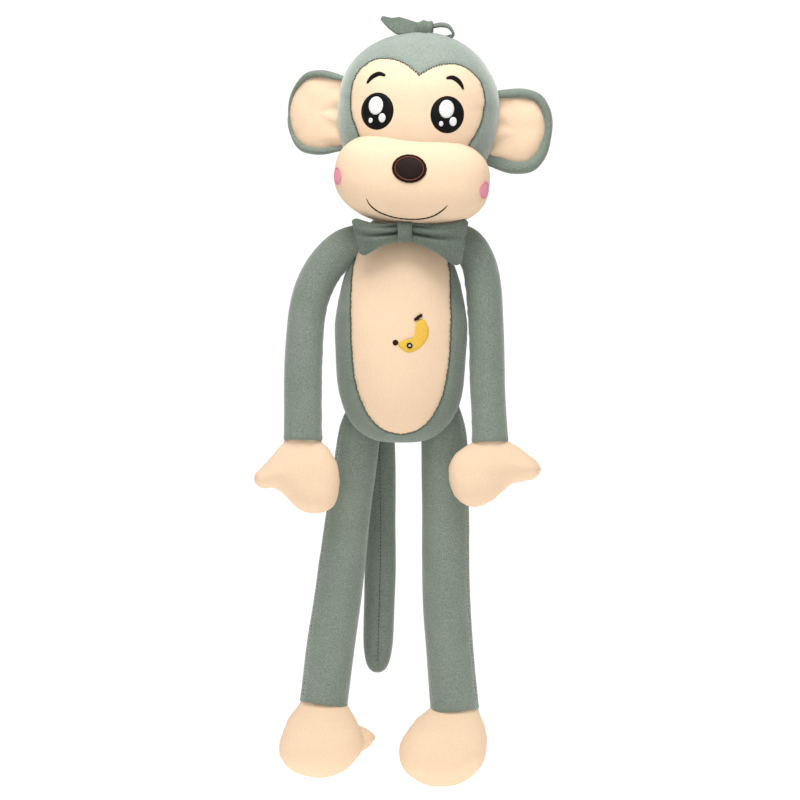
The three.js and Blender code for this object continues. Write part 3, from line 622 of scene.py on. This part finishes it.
muzzle_ways = [Vector((math.cos(a), 0.45, math.sin(a))).normalized()
               for a in (n * math.tau / 120 for n in range(120))]
points, faces, starts = skin(panelled(muzzle_form, Vector((0, -1, 0)), muzzle_ways, 22, 10))
muzzle_core = filling("muzzle_stuffing_fibre", points, faces, head_stand @ muzzle_middle, 0.9)
muzzle = new_piece("muzzle_cloth", points, faces, cream_cloth)
muzzle_seam = range(starts[22], starts[22] + len(muzzle_ways))
stuff(muzzle, muzzle_seam)
soften(muzzle, 0.8 * MM, 0.03)
muzzle_cloth = surface_of(muzzle)
stands_for(muzzle, "cream_plush", "muzzle")
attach(muzzle, "head")
stands_for(muzzle_core, "stuffing", "muzzle_stuffing")
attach(muzzle_core, "head")

# ---- Nose, smile and cheeks ----
# The nose is a padded brown oval with a lighter stitched edge, the smile one black line of
# backstitch, and each cheek a small pink oval round at the muzzle's side.
brown_thread = thread("brown_thread", "#150a07", "#22120c")
tan_thread = thread("tan_thread", "#5d3424", "#74432e")
pink_thread = thread("pink_thread", "#cf8090", "#d993a1")


def couched(name, cloth, stand, path, material, body, radius, rise=0.2, closed=False):
    """One thick thread laid along a path on the cloth and held down."""
    rings = []
    spots = [laid_on(cloth, stand, *p) for p in path]
    for k, (spot, up) in enumerate(spots):
        before = spots[k - 1][0] if closed or k else spot
        after = spots[(k + 1) % len(spots)][0] if closed or k < len(spots) - 1 else spot
        side = up.cross((after - before).normalized()).normalized()
        ends = 1.0 if closed else min(1.0, 0.35 + 4 * min(k, len(spots) - 1 - k) / len(spots))
        twist = 1 + 0.12 * math.sin(k * 1.9)
        girth = radius * ends * twist * MM
        rings.append([spot + up * rise * MM + (side * math.cos(a) + up * math.sin(a) * 0.8) * girth
                      for a in (n * math.pi / 4 for n in range(8))])
    if closed:
        rings.append(rings[0])
    points, faces, _ = skin(rings)
    piece = new_piece(name, points, faces, material)
    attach(piece, body)
    return piece


nose_z = -49.8
nose = embroider("nose_stitching", muzzle_cloth, head_stand, oval(0, nose_z, 12.8, 10.4), brown_thread,
                 "head", lift=1.8, rings=8)
stands_for(nose, "brown_thread", "nose")
couched("nose_edge_thread", muzzle_cloth, head_stand, oval(0, nose_z, 12.6, 10.2, 0.0, 60), brown_thread,
        "head", 0.8, 0.5, True)
couched("nose_inner_thread", muzzle_cloth, head_stand, oval(0, nose_z, 10.9, 8.6, 0.0, 60), tan_thread,
        "head", 0.42, 1.55, True)
smile_path = smooth_path([(-31, -75.5), (-27.5, -80.5), (-20, -85), (-9, -87.6), (2, -88), (13, -86.8),
                          (22, -83.5), (28.5, -78.6), (31.5, -75)], 70)
smile = couched("smile_thread", muzzle_cloth, head_stand, smile_path, black_thread, "head", 0.62, 0.15)
stands_for(smile, "black_thread", "smile")
for side, way in (("right", -1), ("left", 1)):
    stand = head_stand @ Matrix.Translation((0, -28, -60)) @ Matrix.Rotation(math.radians(way * 78), 4, "Z")
    cheek = embroider(f"{side}_cheek_stitching", muzzle_cloth, stand, oval(0, 0, 5.8, 6.5), pink_thread,
                      "head", lift=0.7)
    stands_for(cheek, "pink_thread", f"{side}_cheek")
    couched(f"{side}_cheek_edge_thread", muzzle_cloth, stand, oval(0, 0, 5.7, 6.4, 0.0, 40), pink_thread,
            "head", 0.55, 0.35, True)

# ---- Ears ----
# Each ear is a D of velvet with a cream front panel inside a rolled rim, lightly filled,
# pleated where it is caught in the head's side seam.
green_cloth = plush("sage_velvet", "#646d64", "#828c80", 1200.0, 0.0009, 0.7, "#eef2ec")
ear_rows = [(0.25, -2.9), (0.5, -2.9), (0.68, -2.6), (0.8, -2.0), (0.9, -1.3), (1.0, -0.7)]
rim_rows = [(0.08, -2.2), (0.25, -3.7), (0.5, -4.3), (0.75, -3.7), (0.92, -2.1), (1.0, 0.0)]
back_rows = [(0.985, 2.3), (0.94, 4.0), (0.85, 5.0), (0.7, 5.8), (0.45, 6.3), (0.2, 6.5)]
rim_thin = 0.25
for side, way, sweep in (("right", -1, 24), ("left", 1, 8)):
    edge = smooth_path([(-10, 26), (2, 31), (18, 33.2), (32, 29), (41, 15), (42.5, -2), (39, -19),
                        (29, -30.5), (14, -33.2), (0, -30), (-11, -25), (-14, -8), (-14, 10)], 96, True)
    middle = Vector((16, 0))
    stand = (head_stand @ Matrix.Translation((way * 62.5, 0, -11)) @ Matrix.Rotation(
        math.radians(way * sweep), 4, "Z") @ Matrix.Scale(way, 4, Vector((1, 0, 0))))

    def ear_spot(flat, depth):
        """A point of the ear, with the pleats at its root."""
        root = max(0.0, min(1.0, (14 - flat.x) / 18))
        pleat = 1.5 * root * math.sin(flat.y * 0.42) * (1 if depth < 0 else 0.4)
        return stand @ Vector((flat.x, depth * (1 - 0.45 * root) + pleat, flat.y))

    rim_at, rim_rise = [], []
    for spot in edge:
        out = (spot - middle).normalized()
        if way < 0:
            width = 6.2 * (rim_thin + (1 - rim_thin) * min(1.0, abs(out.y) ** 1.5))
        else:
            width = 6.6 + 3.4 * max(0.0, -out.y) + max(0.0, out.y)
        rim_at.append(spot - out * width)
        rim_rise.append(min(1.0, 0.35 + width / 9))
    rings = [[ear_spot(middle, -2.9)]]
    rings += [[ear_spot(middle.lerp(s, share), depth) for s in rim_at] for share, depth in ear_rows]
    rings += [[ear_spot(s.lerp(e, share), depth * rise) for s, e, rise in zip(rim_at, edge, rim_rise)]
              for share, depth in rim_rows]
    rings += [[ear_spot(middle.lerp(e, share), depth) for e in edge] for share, depth in back_rows]
    rings.append([ear_spot(middle, 6.5)])
    points, faces, starts = skin(rings)
    ear = new_piece(f"{side}_ear_whole", points, faces, cream_cloth, green_cloth)
    cut = starts[6]
    for polygon in ear.data.polygons:
        polygon.material_index = 0 if min(polygon.vertices) < cut and max(polygon.vertices) < starts[7] else 1
    seam = list(range(cut, cut + len(edge))) + list(range(starts[12], starts[12] + len(edge)))
    stuff(ear, seam, 3.0, 1.2 * MM)
    soften(ear, 0.7 * MM, 0.014)
    press(ear, [p for p, _ in along(ear, seam[:len(edge)])], 0.7 * MM, 1.2 * MM, 0.5 * MM)
    front = panel(ear, f"{side}_ear_front_cloth", 0)
    stands_for(front, "cream_plush", f"{side}_ear_front")
    back = panel(ear, f"{side}_ear_back_cloth", 1)
    stands_for(back, "green_plush", f"{side}_ear_back")
    for piece in (front, back):
        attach(piece, f"{side}_ear")
    bpy.data.objects.remove(ear)


# ---- Crown tuft ----
# A strip of velvet pinched in its middle into the crown seam: one end stands out as a flat
# leaf and the other turns over as a loop.
# The tuft and bow are cut from the same cloth as the body, with their colour painted darker: painted shade
# for their folded pile.
painted_shade_bow_cloth = plush("sage_velvet_bow_painted_shade", "#535c53", "#6f786d", 1200.0, 0.0008, 0.5, "#e6ece3")


def strip(name, path, widths, leans, thickness, material):
    """A cloth strip along a path in the XZ plane, with its width leaning out of the Y axis."""
    rings = []
    for k, spot in enumerate(path):
        run = run_at(path, k)
        flat_side = Vector((0, math.cos(leans[k]), math.sin(leans[k])))
        flat_side = (flat_side - run * flat_side.dot(run)).normalized()
        up = run.cross(flat_side).normalized()
        ring = []
        for n in range(16):
            angle = n * math.tau / 16
            edge_round = math.copysign(abs(math.cos(angle)) ** 0.6, math.cos(angle))
            curl = up * 0.0005 * math.cos(angle * 2 + k * 0.12)
            ring.append(spot + flat_side * edge_round * widths[k] / 2
                        + up * math.sin(angle) * thickness / 2 + curl)
        rings.append(ring)
    first = sum(rings[0], Vector()) / 16
    last = sum(rings[-1], Vector()) / 16
    points, faces, _ = skin([[first]] + rings + [[last]])
    return new_piece(name, points, faces, material)


strip_thickness = 1.9 * MM
tuft_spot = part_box("crown_tuft")
tuft_base = Vector(((tuft_spot[0][0] + tuft_spot[1][0]) / 2 + 0.0005, 0, tuft_spot[1][2]))
leaf_path = [tuft_base + Vector(p) * MM for p in (
    (1.5, -1, -5.5), (-5, -1, -5.0), (-12, -2, -4.4), (-19, -2.5, -3.4), (-26, -3, -1.2), (-33.0, -3, 3.0))]
leaf_path = smooth_path(leaf_path, 26)
leaf_width = [(8.0 + 8 * math.sin(min(1.0, k / 16) * math.pi / 2) - max(0, k - 16) * 1.5) * MM
              for k in range(26)]
leaf_leans = [math.radians(52 + k * 0.6) for k in range(26)]
leaf = strip("crown_tuft_leaf", leaf_path, leaf_width, leaf_leans, strip_thickness, painted_shade_bow_cloth)
loop_path = [tuft_base + Vector(p) * MM for p in (
    (-2, 0, -5), (6, 0, -3.6), (14, 0, -2.2), (20, -0.5, -4.0), (22.5, -1, -9.5), (18, -1, -12.5),
    (9, 0, -11))]
loop_path = smooth_path(loop_path, 30)
loop_width = [(8 + 5 * math.sin(k / 29 * math.pi)) * MM for k in range(30)]
loop = strip("crown_tuft_loop", loop_path, loop_width, [math.radians(16)] * 30, strip_thickness, painted_shade_bow_cloth)
knot_path = [tuft_base + Vector(p) * MM for p in (
    (0.5, -6.5, -10), (1, -7, -4), (1.5, -2, -0.8), (1.5, 3, -3), (1.5, 6, -8))]
knot_path = smooth_path(knot_path, 20)
rings = []
for k, spot in enumerate(knot_path):
    run = run_at(knot_path, k)
    side = Vector((1, 0, 0))
    up = run.cross(side).normalized()
    rings.append([spot + side * math.cos(a) * 6.0 * MM + up * (math.sin(a) * 1.5 + 0.5 * math.cos(a * 5)) * MM
                  for a in (n * math.tau / 24 for n in range(24))])
points, faces, _ = skin([[knot_path[0]]] + rings + [[knot_path[-1]]])
tuft_band = new_piece("crown_tuft_band", points, faces, painted_shade_bow_cloth)
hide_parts("crown_tuft")
for piece in (leaf, loop, tuft_band):
    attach(piece, "head")

# ---- Torso ----
# A long soft egg with a narrow neck, an oval cream belly panel set in with dark zigzag
# stitching, and a side seam down each side.
torso_low, torso_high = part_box("torso_cover")
torso_x = (torso_low[0] + torso_high[0]) / 2
torso_top, torso_bottom = torso_high[2] + 0.004, torso_low[2] + 0.001
torso_mid, torso_half = (torso_top + torso_bottom) / 2, (torso_top - torso_bottom) / 2
torso_wide, torso_depth = 51.3 * MM, 38.0 * MM


def torso_share(height):
    """The torso's half width, as a share of the widest, at a height from -1 to 1."""
    power = 2.9 if height < 0 else 2.0
    share = (1 - min(abs(height), 1.0) ** power) ** (1 / power)
    return share * (1 - 0.11 * max(height, 0.0) ** 0.8)


def torso_form(way):
    """The torso's surface along a way out from its middle."""
    flat = math.hypot(way.x, way.y) or 1.0
    share = torso_share(way.z)
    return Vector((torso_x + torso_wide * share * way.x / flat, torso_depth * share * way.y / flat,
                   torso_mid + torso_half * way.z))


belly_half = [(0, -153), (18, -156), (31, -165), (37.5, -182), (39, -206), (39.2, -232), (38, -255),
              (35, -275), (30, -290), (23, -302), (13, -310.5), (0, -313.6)]
belly_outline = mirrored(belly_half, 90)
belly_ways = []
for x, z in belly_outline:
    height = (z * MM - torso_mid) / torso_half
    across = max(-0.985, min(0.985, x * MM / (torso_wide * torso_share(height))))
    flat = math.sqrt(1 - height * height)
    belly_ways.append(Vector((across * flat, -math.sqrt(1 - across * across) * flat, height)))
points, faces, starts = skin(panelled(torso_form, Vector((0, -1, 0)), belly_ways, 14, 22))
torso_core = filling("torso_stuffing_fibre", points, faces, Vector((torso_x, 0, torso_mid)), 0.92)
torso_whole = new_piece("torso_whole", points, faces, cream_cloth, green_cloth)
seam_start = starts[14]
for polygon in torso_whole.data.polygons:
    inside = min(polygon.vertices) < seam_start and max(polygon.vertices) < starts[15]
    polygon.material_index = 0 if inside else 1
belly_seam = range(seam_start, seam_start + len(belly_ways))
stuff(torso_whole, belly_seam)
soften(torso_whole, 1.1 * MM, 0.04)
for way in (-1, 1):
    side_seam = [torso_form(Vector((way * math.cos(a), 0.12, math.sin(a))).normalized())
                 for a in (math.radians(-80 + 2 * n) for n in range(80))]
    press(torso_whole, side_seam, 0.8 * MM, 1.6 * MM, 0.5 * MM)
press(torso_whole, [p for p, _ in along(torso_whole, belly_seam)], 1.1 * MM, 1.9 * MM, 0.7 * MM)
belly_line = along(torso_whole, belly_seam)
torso_cloth = surface_of(torso_whole)
belly = panel(torso_whole, "belly_panel_cloth", 0)
stands_for(belly, "cream_plush", "belly_panel")
torso_cover = panel(torso_whole, "torso_cover_cloth", 1)
stands_for(torso_cover, "green_plush", "torso_cover")
stands_for(torso_core, "stuffing", "torso_stuffing")
belly_stitches = sewn_line("belly_seam_stitches", [p + n * 0.6 * MM for p, n in belly_line],
                           [n for _, n in belly_line], seam_thread, 2.2 * MM, 2.4 * MM, 0.42 * MM, 0.75, True)
for piece in (belly, torso_cover, torso_core, belly_stitches):
    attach(piece, "torso")
bpy.data.objects.remove(torso_whole)

# ---- Banana ----
# A small satin-stitched crescent with a brown stalk, a dark end and a white-eyed ring.
yellow_thread = thread("yellow_thread", "#cda03a", "#dfb850")
belly_stand = Matrix.Scale(MM, 4)
crescent = smooth_path([(-7.8, -224.3), (-3.1, -224.3), (0, -229.7), (0.4, -235.9), (-2.3, -242.1),
                        (-7.8, -247.2), (-14.7, -249.9), (-20.2, -247.5), (-23.3, -243.7), (-21, -241),
                        (-16.3, -241.5), (-12.4, -238.5), (-10, -234), (-9.3, -228.5)], 56, True)
banana = embroider("banana_stitching", torso_cloth, belly_stand, crescent, yellow_thread, "torso", lift=0.9)
stands_for(banana, "yellow_thread", "banana")
stalk_path = smooth_path([(-10.8, -224.9), (-7.5, -222.5), (-4.6, -220.4)], 10)
stalk = couched("banana_stalk_thread", torso_cloth, belly_stand, stalk_path, brown_thread, "torso", 1.3, 0.5)
stands_for(stalk, "brown_thread", "banana_stalk")
end = embroider("banana_end_stitching", torso_cloth, belly_stand, oval(-25.2, -242.1, 2.3, 2.3, 0.0, 20),
                brown_thread, "torso", lift=0.9, rings=3)
stands_for(end, "brown_thread", "banana_end")
couched("banana_ring_thread", torso_cloth, belly_stand, oval(-14.4, -244.4, 1.7, 1.7, 0.0, 20), brown_thread,
        "torso", 0.6, 1.1, True)
embroider("banana_ring_middle", torso_cloth, belly_stand, oval(-14.4, -244.4, 1.0, 1.0, 0.0, 14),
          white_thread, "torso", lift=0.3, rise=0.9, rings=2)

# ---- Bow tie ----
# Two folded wings of the body's velvet gathered into a short band across their middle.
# The bow's wings and band take the velvet painted darker, as painted shade.
bow_low, bow_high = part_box("bow_knot")
bow_y = (bow_low[1] + bow_high[1]) / 2 + 0.001
knot_x, knot_z = -18.0 * MM, -156.6 * MM
wings = [("right", -1, (-60.0, -144.0), (-52.0, -177.5)), ("left", 1, (31.8, -144.0), (25.0, -186.0))]
for side, way, top_corner, low_corner in wings:
    rings = []
    for k in range(25):
        share = k / 24
        tip = math.sqrt(max(0.0, 1 - max(0.0, (share - 0.93) / 0.07) ** 2))
        high = Vector((knot_x / MM + way * 4, knot_z / MM + 7.5)).lerp(Vector(top_corner), share)
        low = Vector((knot_x / MM + way * 4, knot_z / MM - 7.5)).lerp(Vector(low_corner), share)
        high.y -= 3.5 * math.sin(math.pi * share)
        low.y += 2.0 * math.sin(math.pi * share)
        rounding = 0.13 * max(0.0, (share - 0.8) / 0.2) ** 2.4
        high, low = high.lerp(low, rounding), low.lerp(high, rounding)
        swell = (2.8 + 8.2 * math.sin(math.pi * min(share * 1.08, 1.0)) ** 0.8) * (0.25 + 0.75 * tip)
        ring = []
        for n in range(56):
            angle = n * math.tau / 56
            up = math.cos(angle)
            spot = high.lerp(low, (1 - up) / 2)
            fold = math.exp(-((up + 0.12 - 0.3 * share) / 0.2) ** 2) * (1 - share) ** 0.5 * 8.5
            small_fold = math.exp(-((up - 0.62) / 0.16) ** 2) * (1 - share) ** 0.8 * 6.0
            pleats = (0.5 * math.cos(up * 4 - share * 2) - fold - small_fold) * min(1.0, share * 6 + 0.2)
            depth = -math.sin(angle) * swell
            if math.sin(angle) > 0:
                depth -= pleats * math.sin(angle)
            ring.append(Vector((spot.x * MM, bow_y - 0.001 + (depth + 2.0 * share) * MM, spot.y * MM)))
        rings.append(ring)
    inner = sum(rings[0], Vector()) / 56
    outer = sum(rings[-1], Vector()) / 56
    points, faces, starts = skin([[inner]] + rings + [[outer]])
    wing = new_piece(f"bow_tie_{side}_wing", points, faces, painted_shade_bow_cloth)
    stuff(wing, range(0, starts[4]), 1.5, 1.2 * MM)
    soften(wing, 0.4 * MM, 0.012)
    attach(wing, "torso")
    if way < 0:
        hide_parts("bow_tie")
rings = []
for n in range(48):
    angle = n * math.tau / 48
    ring = []
    for m in range(20):
        turn = m * math.tau / 20
        across = math.cos(turn)
        fold = 0.55 * math.sin(turn * 3 + angle) + 0.35 * math.cos(angle * 3)
        out = 1.1 * math.sin(turn) + fold * 0.6
        ring.append(Vector((knot_x + (5.9 + 0.5 * math.cos(angle * 2)) * across * MM,
                            bow_y - 0.001 + math.sin(angle) * (6.2 + out) * MM,
                            knot_z + math.cos(angle) * (7.2 + out) * MM)))
    rings.append(ring)
points, faces, _ = skin(rings + [rings[0]])
knot = new_piece("bow_knot_band", points, faces, painted_shade_bow_cloth)
stands_for(knot, "green_plush", "bow_knot")
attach(knot, "torso")
# A thick bundle of hand stitches holds the band to the neck.
tack_front = Vector((knot_x, bow_y + 3.5 * MM, knot_z))
tack_back, _, _, _ = torso_cloth.ray_cast(tack_front, Vector((0, 1, 0)))
tack_back = tack_back + Vector((0, 1.5 * MM, 0))
rings = [[tack_front.lerp(tack_back, k / 6)
          + Vector((math.cos(a), 0, math.sin(a))) * (1.9 + 0.3 * math.cos(5 * a + k)) * MM
          for a in (n * math.tau / 30 for n in range(30))] for k in range(7)]
points, faces, _ = skin([[tack_front]] + rings + [[tack_back]])
tack = new_piece("bow_tack_thread", points, faces, seam_thread)
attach(tack, "torso")


# ---- Arms, legs and tail ----
# Each limb is one long stuffed tube of velvet, closed into the body's seam at its top;
# its seam runs down one side.
def tube(path, radii, flat, sides, seam_angle):
    """Rings round a path, each with a side and a depth, and the ring corner its seam follows."""
    rings, seam = [], []
    for k, spot in enumerate(path):
        run = run_at(path, k)
        depth = Vector((0, 1, 0))
        depth = (depth - run * depth.dot(run)).normalized()
        side = depth.cross(run)
        rings.append([spot + side * math.cos(a) * radii[k] + depth * math.sin(a) * radii[k] * flat
                      for a in (n * math.tau / sides for n in range(sides))])
        seam.append(round(seam_angle / math.tau * sides) % sides)
    return rings, seam


limb_rings, limb_sides = 84, 36
core_share = 0.78


def limb(name, spots, widths, nodes, seam_angle, stitch, closed_tip=False):
    """A stuffed sleeve along its path, with its filling and seam."""
    path = smooth_path([Vector(p) * MM for p in spots], limb_rings)
    radii = [p.x * MM for p in smooth_path([(w, 0) for w in widths], limb_rings)]
    if closed_tip:
        for k in range(10):
            radii[-1 - k] *= math.sqrt(max(0.0, 1 - (1 - (k + 0.35) / 10) ** 2))
    rings, seam = tube(path, radii, 0.96, limb_sides, seam_angle)
    if not closed_tip:
        # The sleeve flares a little at its hem and is drawn in by the seam that holds the mitten.
        for k in range(5):
            for n, spot in enumerate(rings[-1 - k]):
                out = spot - path[-1 - k]
                scallop = 0.007 * math.sin(n * math.tau / limb_sides * 9) * (1 - k / 5)
                rings[-1 - k][n] = path[-1 - k] + out * (1 + 0.015 * (k == 1) - 0.03 * (k == 0) + scallop)
    ends = [[sum(rings[0], Vector()) / limb_sides]] + rings
    if closed_tip:
        ends.append([path[-1] + (path[-1] - path[-2]).normalized() * 0.4 * MM])
    else:
        inner = [path[-1] + (spot - path[-1]) * 0.8 for spot in rings[-1]]
        ends.append(inner)
        ends.append([path[-1]])
    points, faces, starts = skin(ends)
    sleeve = new_piece(f"{name}_sleeve_cloth", points, faces, green_cloth)
    held = list(range(0, starts[3])) + list(range(starts[-4 if closed_tip else -5], len(points)))
    stuff(sleeve, held, 3.0, 1.0 * MM)
    soften(sleeve, 0.6 * MM, 0.045)
    ids = [starts[k + 1] + seam[k] for k in range(limb_rings)]
    press(sleeve, [p for p, _ in along(sleeve, ids)], 0.8 * MM, 1.5 * MM, 0.7 * MM)
    line = along(sleeve, ids[3:-3])
    inside = [[path[k] + (spot - path[k]) * core_share for spot in rings[k]] for k in range(5, 79)]
    points, faces, _ = skin([[path[5]]] + inside + [[path[78]]])
    core = new_piece(f"{name}_stuffing_fibre", points, faces, fibre_fill)
    stitched = sewn_line(f"{name}_seam_stitches", [p + n * 0.1 * MM for p, n in line], [n for _, n in line],
                         seam_thread, 2.8 * MM, 1.7 * MM, stitch * MM)
    for piece in (sleeve, core, stitched):
        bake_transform(piece)
    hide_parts(*nodes[0])
    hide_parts(*nodes[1])
    return path


joint_places = {}
for joint in frame["joints"]:
    joint_places[joint["name"]] = Vector(joint["pos_m"])
arm_spots = {
    "right": [(-47, -3, -160), (-64, -4, -167), (-78, -5, -181), (-88, -6, -198), (-93.3, -7, -217),
              (-95.6, -9, -240), (-96.6, -12, -270), (-97, -16, -318)],
    "left": [(14, -3, -158), (30, -4, -165), (38.8, -5, -180), (42.7, -6, -198), (44.3, -7, -217),
             (45.5, -9, -240), (46, -12, -275), (48, -16, -319)],
}
arm_widths = {"right": [11, 13.8, 14.8, 14.8, 14.6, 14.4, 14.6, 14.9],
              "left": [10, 12.8, 13.6, 13.8, 13.8, 13.6, 13.6, 13.9]}
leg_spots = {
    "right": [(-47, 10, -292), (-52.6, 13, -310), (-56, 14, -333), (-61, 14, -368), (-67, 14, -414),
              (-71.5, 14, -450), (-77, 13.5, -489), (-81.3, 13, -523)],
    "left": [(9, 10, -292), (12, 13, -310), (13.2, 14, -333), (13.6, 14, -368), (13.8, 14, -414),
             (14.6, 14, -450), (17.8, 13.5, -489), (21, 13, -528)],
}
leg_widths = {"right": [14, 16.2, 16.6, 17.2, 17.9, 18.3, 18.7, 18.6],
              "left": [15, 17.4, 18.0, 18.2, 18.3, 18.4, 18.5, 18.6]}
arm_seam = {"right": math.pi - 0.1, "left": 0.1}
leg_seam = {"right": math.radians(-25), "left": math.pi + 0.4}
for side in ("right", "left"):
    limb(f"{side}_arm", arm_spots[side], arm_widths[side],
         ([f"{side}_upper_arm_sleeve", f"{side}_forearm_sleeve"],
          [f"{side}_upper_arm_stuffing", f"{side}_forearm_stuffing"]), arm_seam[side], 0.24)
    limb(f"{side}_leg", leg_spots[side], leg_widths[side],
         ([f"{side}_thigh_sleeve", f"{side}_shin_sleeve"],
          [f"{side}_thigh_stuffing", f"{side}_shin_stuffing"]), leg_seam[side], 0.24)
limb("tail", [(-37, 24, -288), (-38, 36, -302), (-37.6, 42, -330), (-37, 46, -370), (-37, 47, -410),
              (-38, 48, -450), (-39.5, 48, -499)],
     [10.5, 11.6, 11.9, 12, 12, 12, 12.2],
     (["tail_base_sleeve", "tail_tip_sleeve"], ["tail_base_stuffing", "tail_tip_stuffing"]),
     -math.pi / 2, 0.42, closed_tip=True)


# ---- Hands and feet ----
# Mittens of cream velvet: two panels cut to one outline and sewn round their edge, the thumb
# and big toe part of the cut, stuffed softly and sewn into the sleeve's hem.
def mitten(name, stand, outline, middle, half_depth, full, forward, neck, sides=96, layers=13):
    """A two-panel cushion inside an outline, whose depth grows with the way in from the seam."""
    edge = smooth_path(outline, sides, True)
    legs = list(zip(edge, edge[1:] + edge[:1]))

    def depth_at(spot):
        nearest = min((spot - (a + (b - a) * max(0.0, min(1.0, (spot - a).dot(b - a)
                                                          / (b - a).length_squared)))).length
                      for a, b in legs)
        share = 1 - min(nearest, full) / full
        below = max(0.0, min(1.0, (2 - spot.y) / 22))
        most = neck + (half_depth - neck) * below * below * (3 - 2 * below)
        return most * math.sqrt(max(0.0, 1 - share ** 2.3))

    def place(spot, depth):
        """A point of the mitten: its neck stands in the hem and its body comes forward."""
        below = max(0.0, min(1.0, (2 - spot.y) / 22))
        return stand @ Vector((spot.x, forward * below + depth, spot.y))

    front, back = [], []
    for k in range(layers):
        share = math.sin(k / layers * math.pi / 2)
        flat = [middle.lerp(e, share) for e in (edge if k else edge[:1])]
        front.append([place(p, -depth_at(p)) for p in flat])
        back.append([place(p, depth_at(p) * 0.92) for p in flat])
    rim = [place(p, 0) for p in edge]
    points, faces, starts = skin(front + [rim] + back[::-1])
    core = filling(name.replace("cloth", "stuffing_fibre"), points, faces, place(middle, 0), 0.84)
    cover = new_piece(name, points, faces, cream_cloth)
    seam = range(starts[layers], starts[layers] + sides)
    stuff(cover, seam, 3.0, 1.0 * MM)
    soften(cover, 0.7 * MM, 0.018)
    press(cover, [p for p, _ in along(cover, seam)], -0.35 * MM, 0.8 * MM, 0.5 * MM)
    return cover, core


hand_outlines = {
    "right": [(0, 9), (10, 8), (13.6, -1), (19.5, -7), (25.2, -16.5), (28, -28), (28, -38), (24.6, -49),
              (17, -55.3), (7, -56.4), (-3, -52.8), (-11.5, -45), (-18.5, -39.2), (-24, -37), (-31, -37.2),
              (-36, -33.5), (-36.3, -27.5), (-31, -21.5), (-24, -13), (-17.5, -5.5), (-13.6, -1), (-10, 8)],
    "left": [(0, 9), (-10, 8), (-12.8, -1), (-20, -6), (-27.5, -13), (-31.5, -23), (-31, -34), (-26.5, -44),
             (-18.5, -50.6), (-9, -51.6), (1.5, -47), (10, -39), (17.5, -33.8), (25, -32), (33, -30),
             (38.8, -24.3), (36.5, -17.8), (29, -11.6), (20.5, -5.2), (13, -0.5), (10, 8)],
}
foot_outlines = {
    "right": [(0, 9), (14, 8), (18, -1.2), (24.6, -12.8), (29.8, -25), (28, -38.4), (14.6, -53),
              (-4.7, -57.4), (-21, -54.2), (-31.4, -45), (-34, -32.5), (-28, -14.2), (-18.2, 0), (-14, 8)],
    "left": [(0, 9), (14, 8), (18, -2.5), (23.6, -15.3), (24.6, -29), (20, -44.6), (6.8, -56.4), (-9.5, -60),
             (-25.4, -57.6), (-39.5, -47.4), (-42.8, -34.4), (-39.8, -23.3), (-30.6, -9.9), (-19, 0),
             (-14, 8)],
}
for side, way in (("right", -1), ("left", 1)):
    wrist = joint_places[f"{side}_wrist"]
    stand = Matrix.Translation(wrist) @ Matrix.Scale(MM, 4)
    hand, hand_core = mitten(f"{side}_hand_cloth", stand, hand_outlines[side], Vector((way * 1.5, -27)),
                             13.0, 20, -2.5, 11.5)
    ankle = joint_places[f"{side}_ankle"]
    stand = Matrix.Translation(ankle) @ Matrix.Scale(MM, 4)
    foot, foot_core = mitten(f"{side}_foot_cloth", stand, foot_outlines[side], Vector((-way * 3, -30)),
                             21.5, 27, -7, 15.5)
    for cover, core, part, above, pivot in (
            (hand, hand_core, "hand", "forearm", wrist), (foot, foot_core, "foot", "shin", ankle)):
        for piece in (cover, core):
            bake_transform(piece)
        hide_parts(f"{side}_{part}")
        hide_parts(f"{side}_{part}_stuffing")

    if way < 0:
        # This foot's big toe is turned behind it, and shows as a small lobe on its inner side.
        toe_outline = [(10, -14), (24, -16.5), (34, -21), (39.3, -26), (37, -31), (30, -37), (20, -43),
                       (8, -44)]
        toe, toe_core = mitten("right_big_toe_cloth", stand, toe_outline, Vector((20, -29)),
                               10.5, 11, 4, 10.5, 60, 8)
        for piece in (toe, toe_core):
            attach(piece, "right_foot")
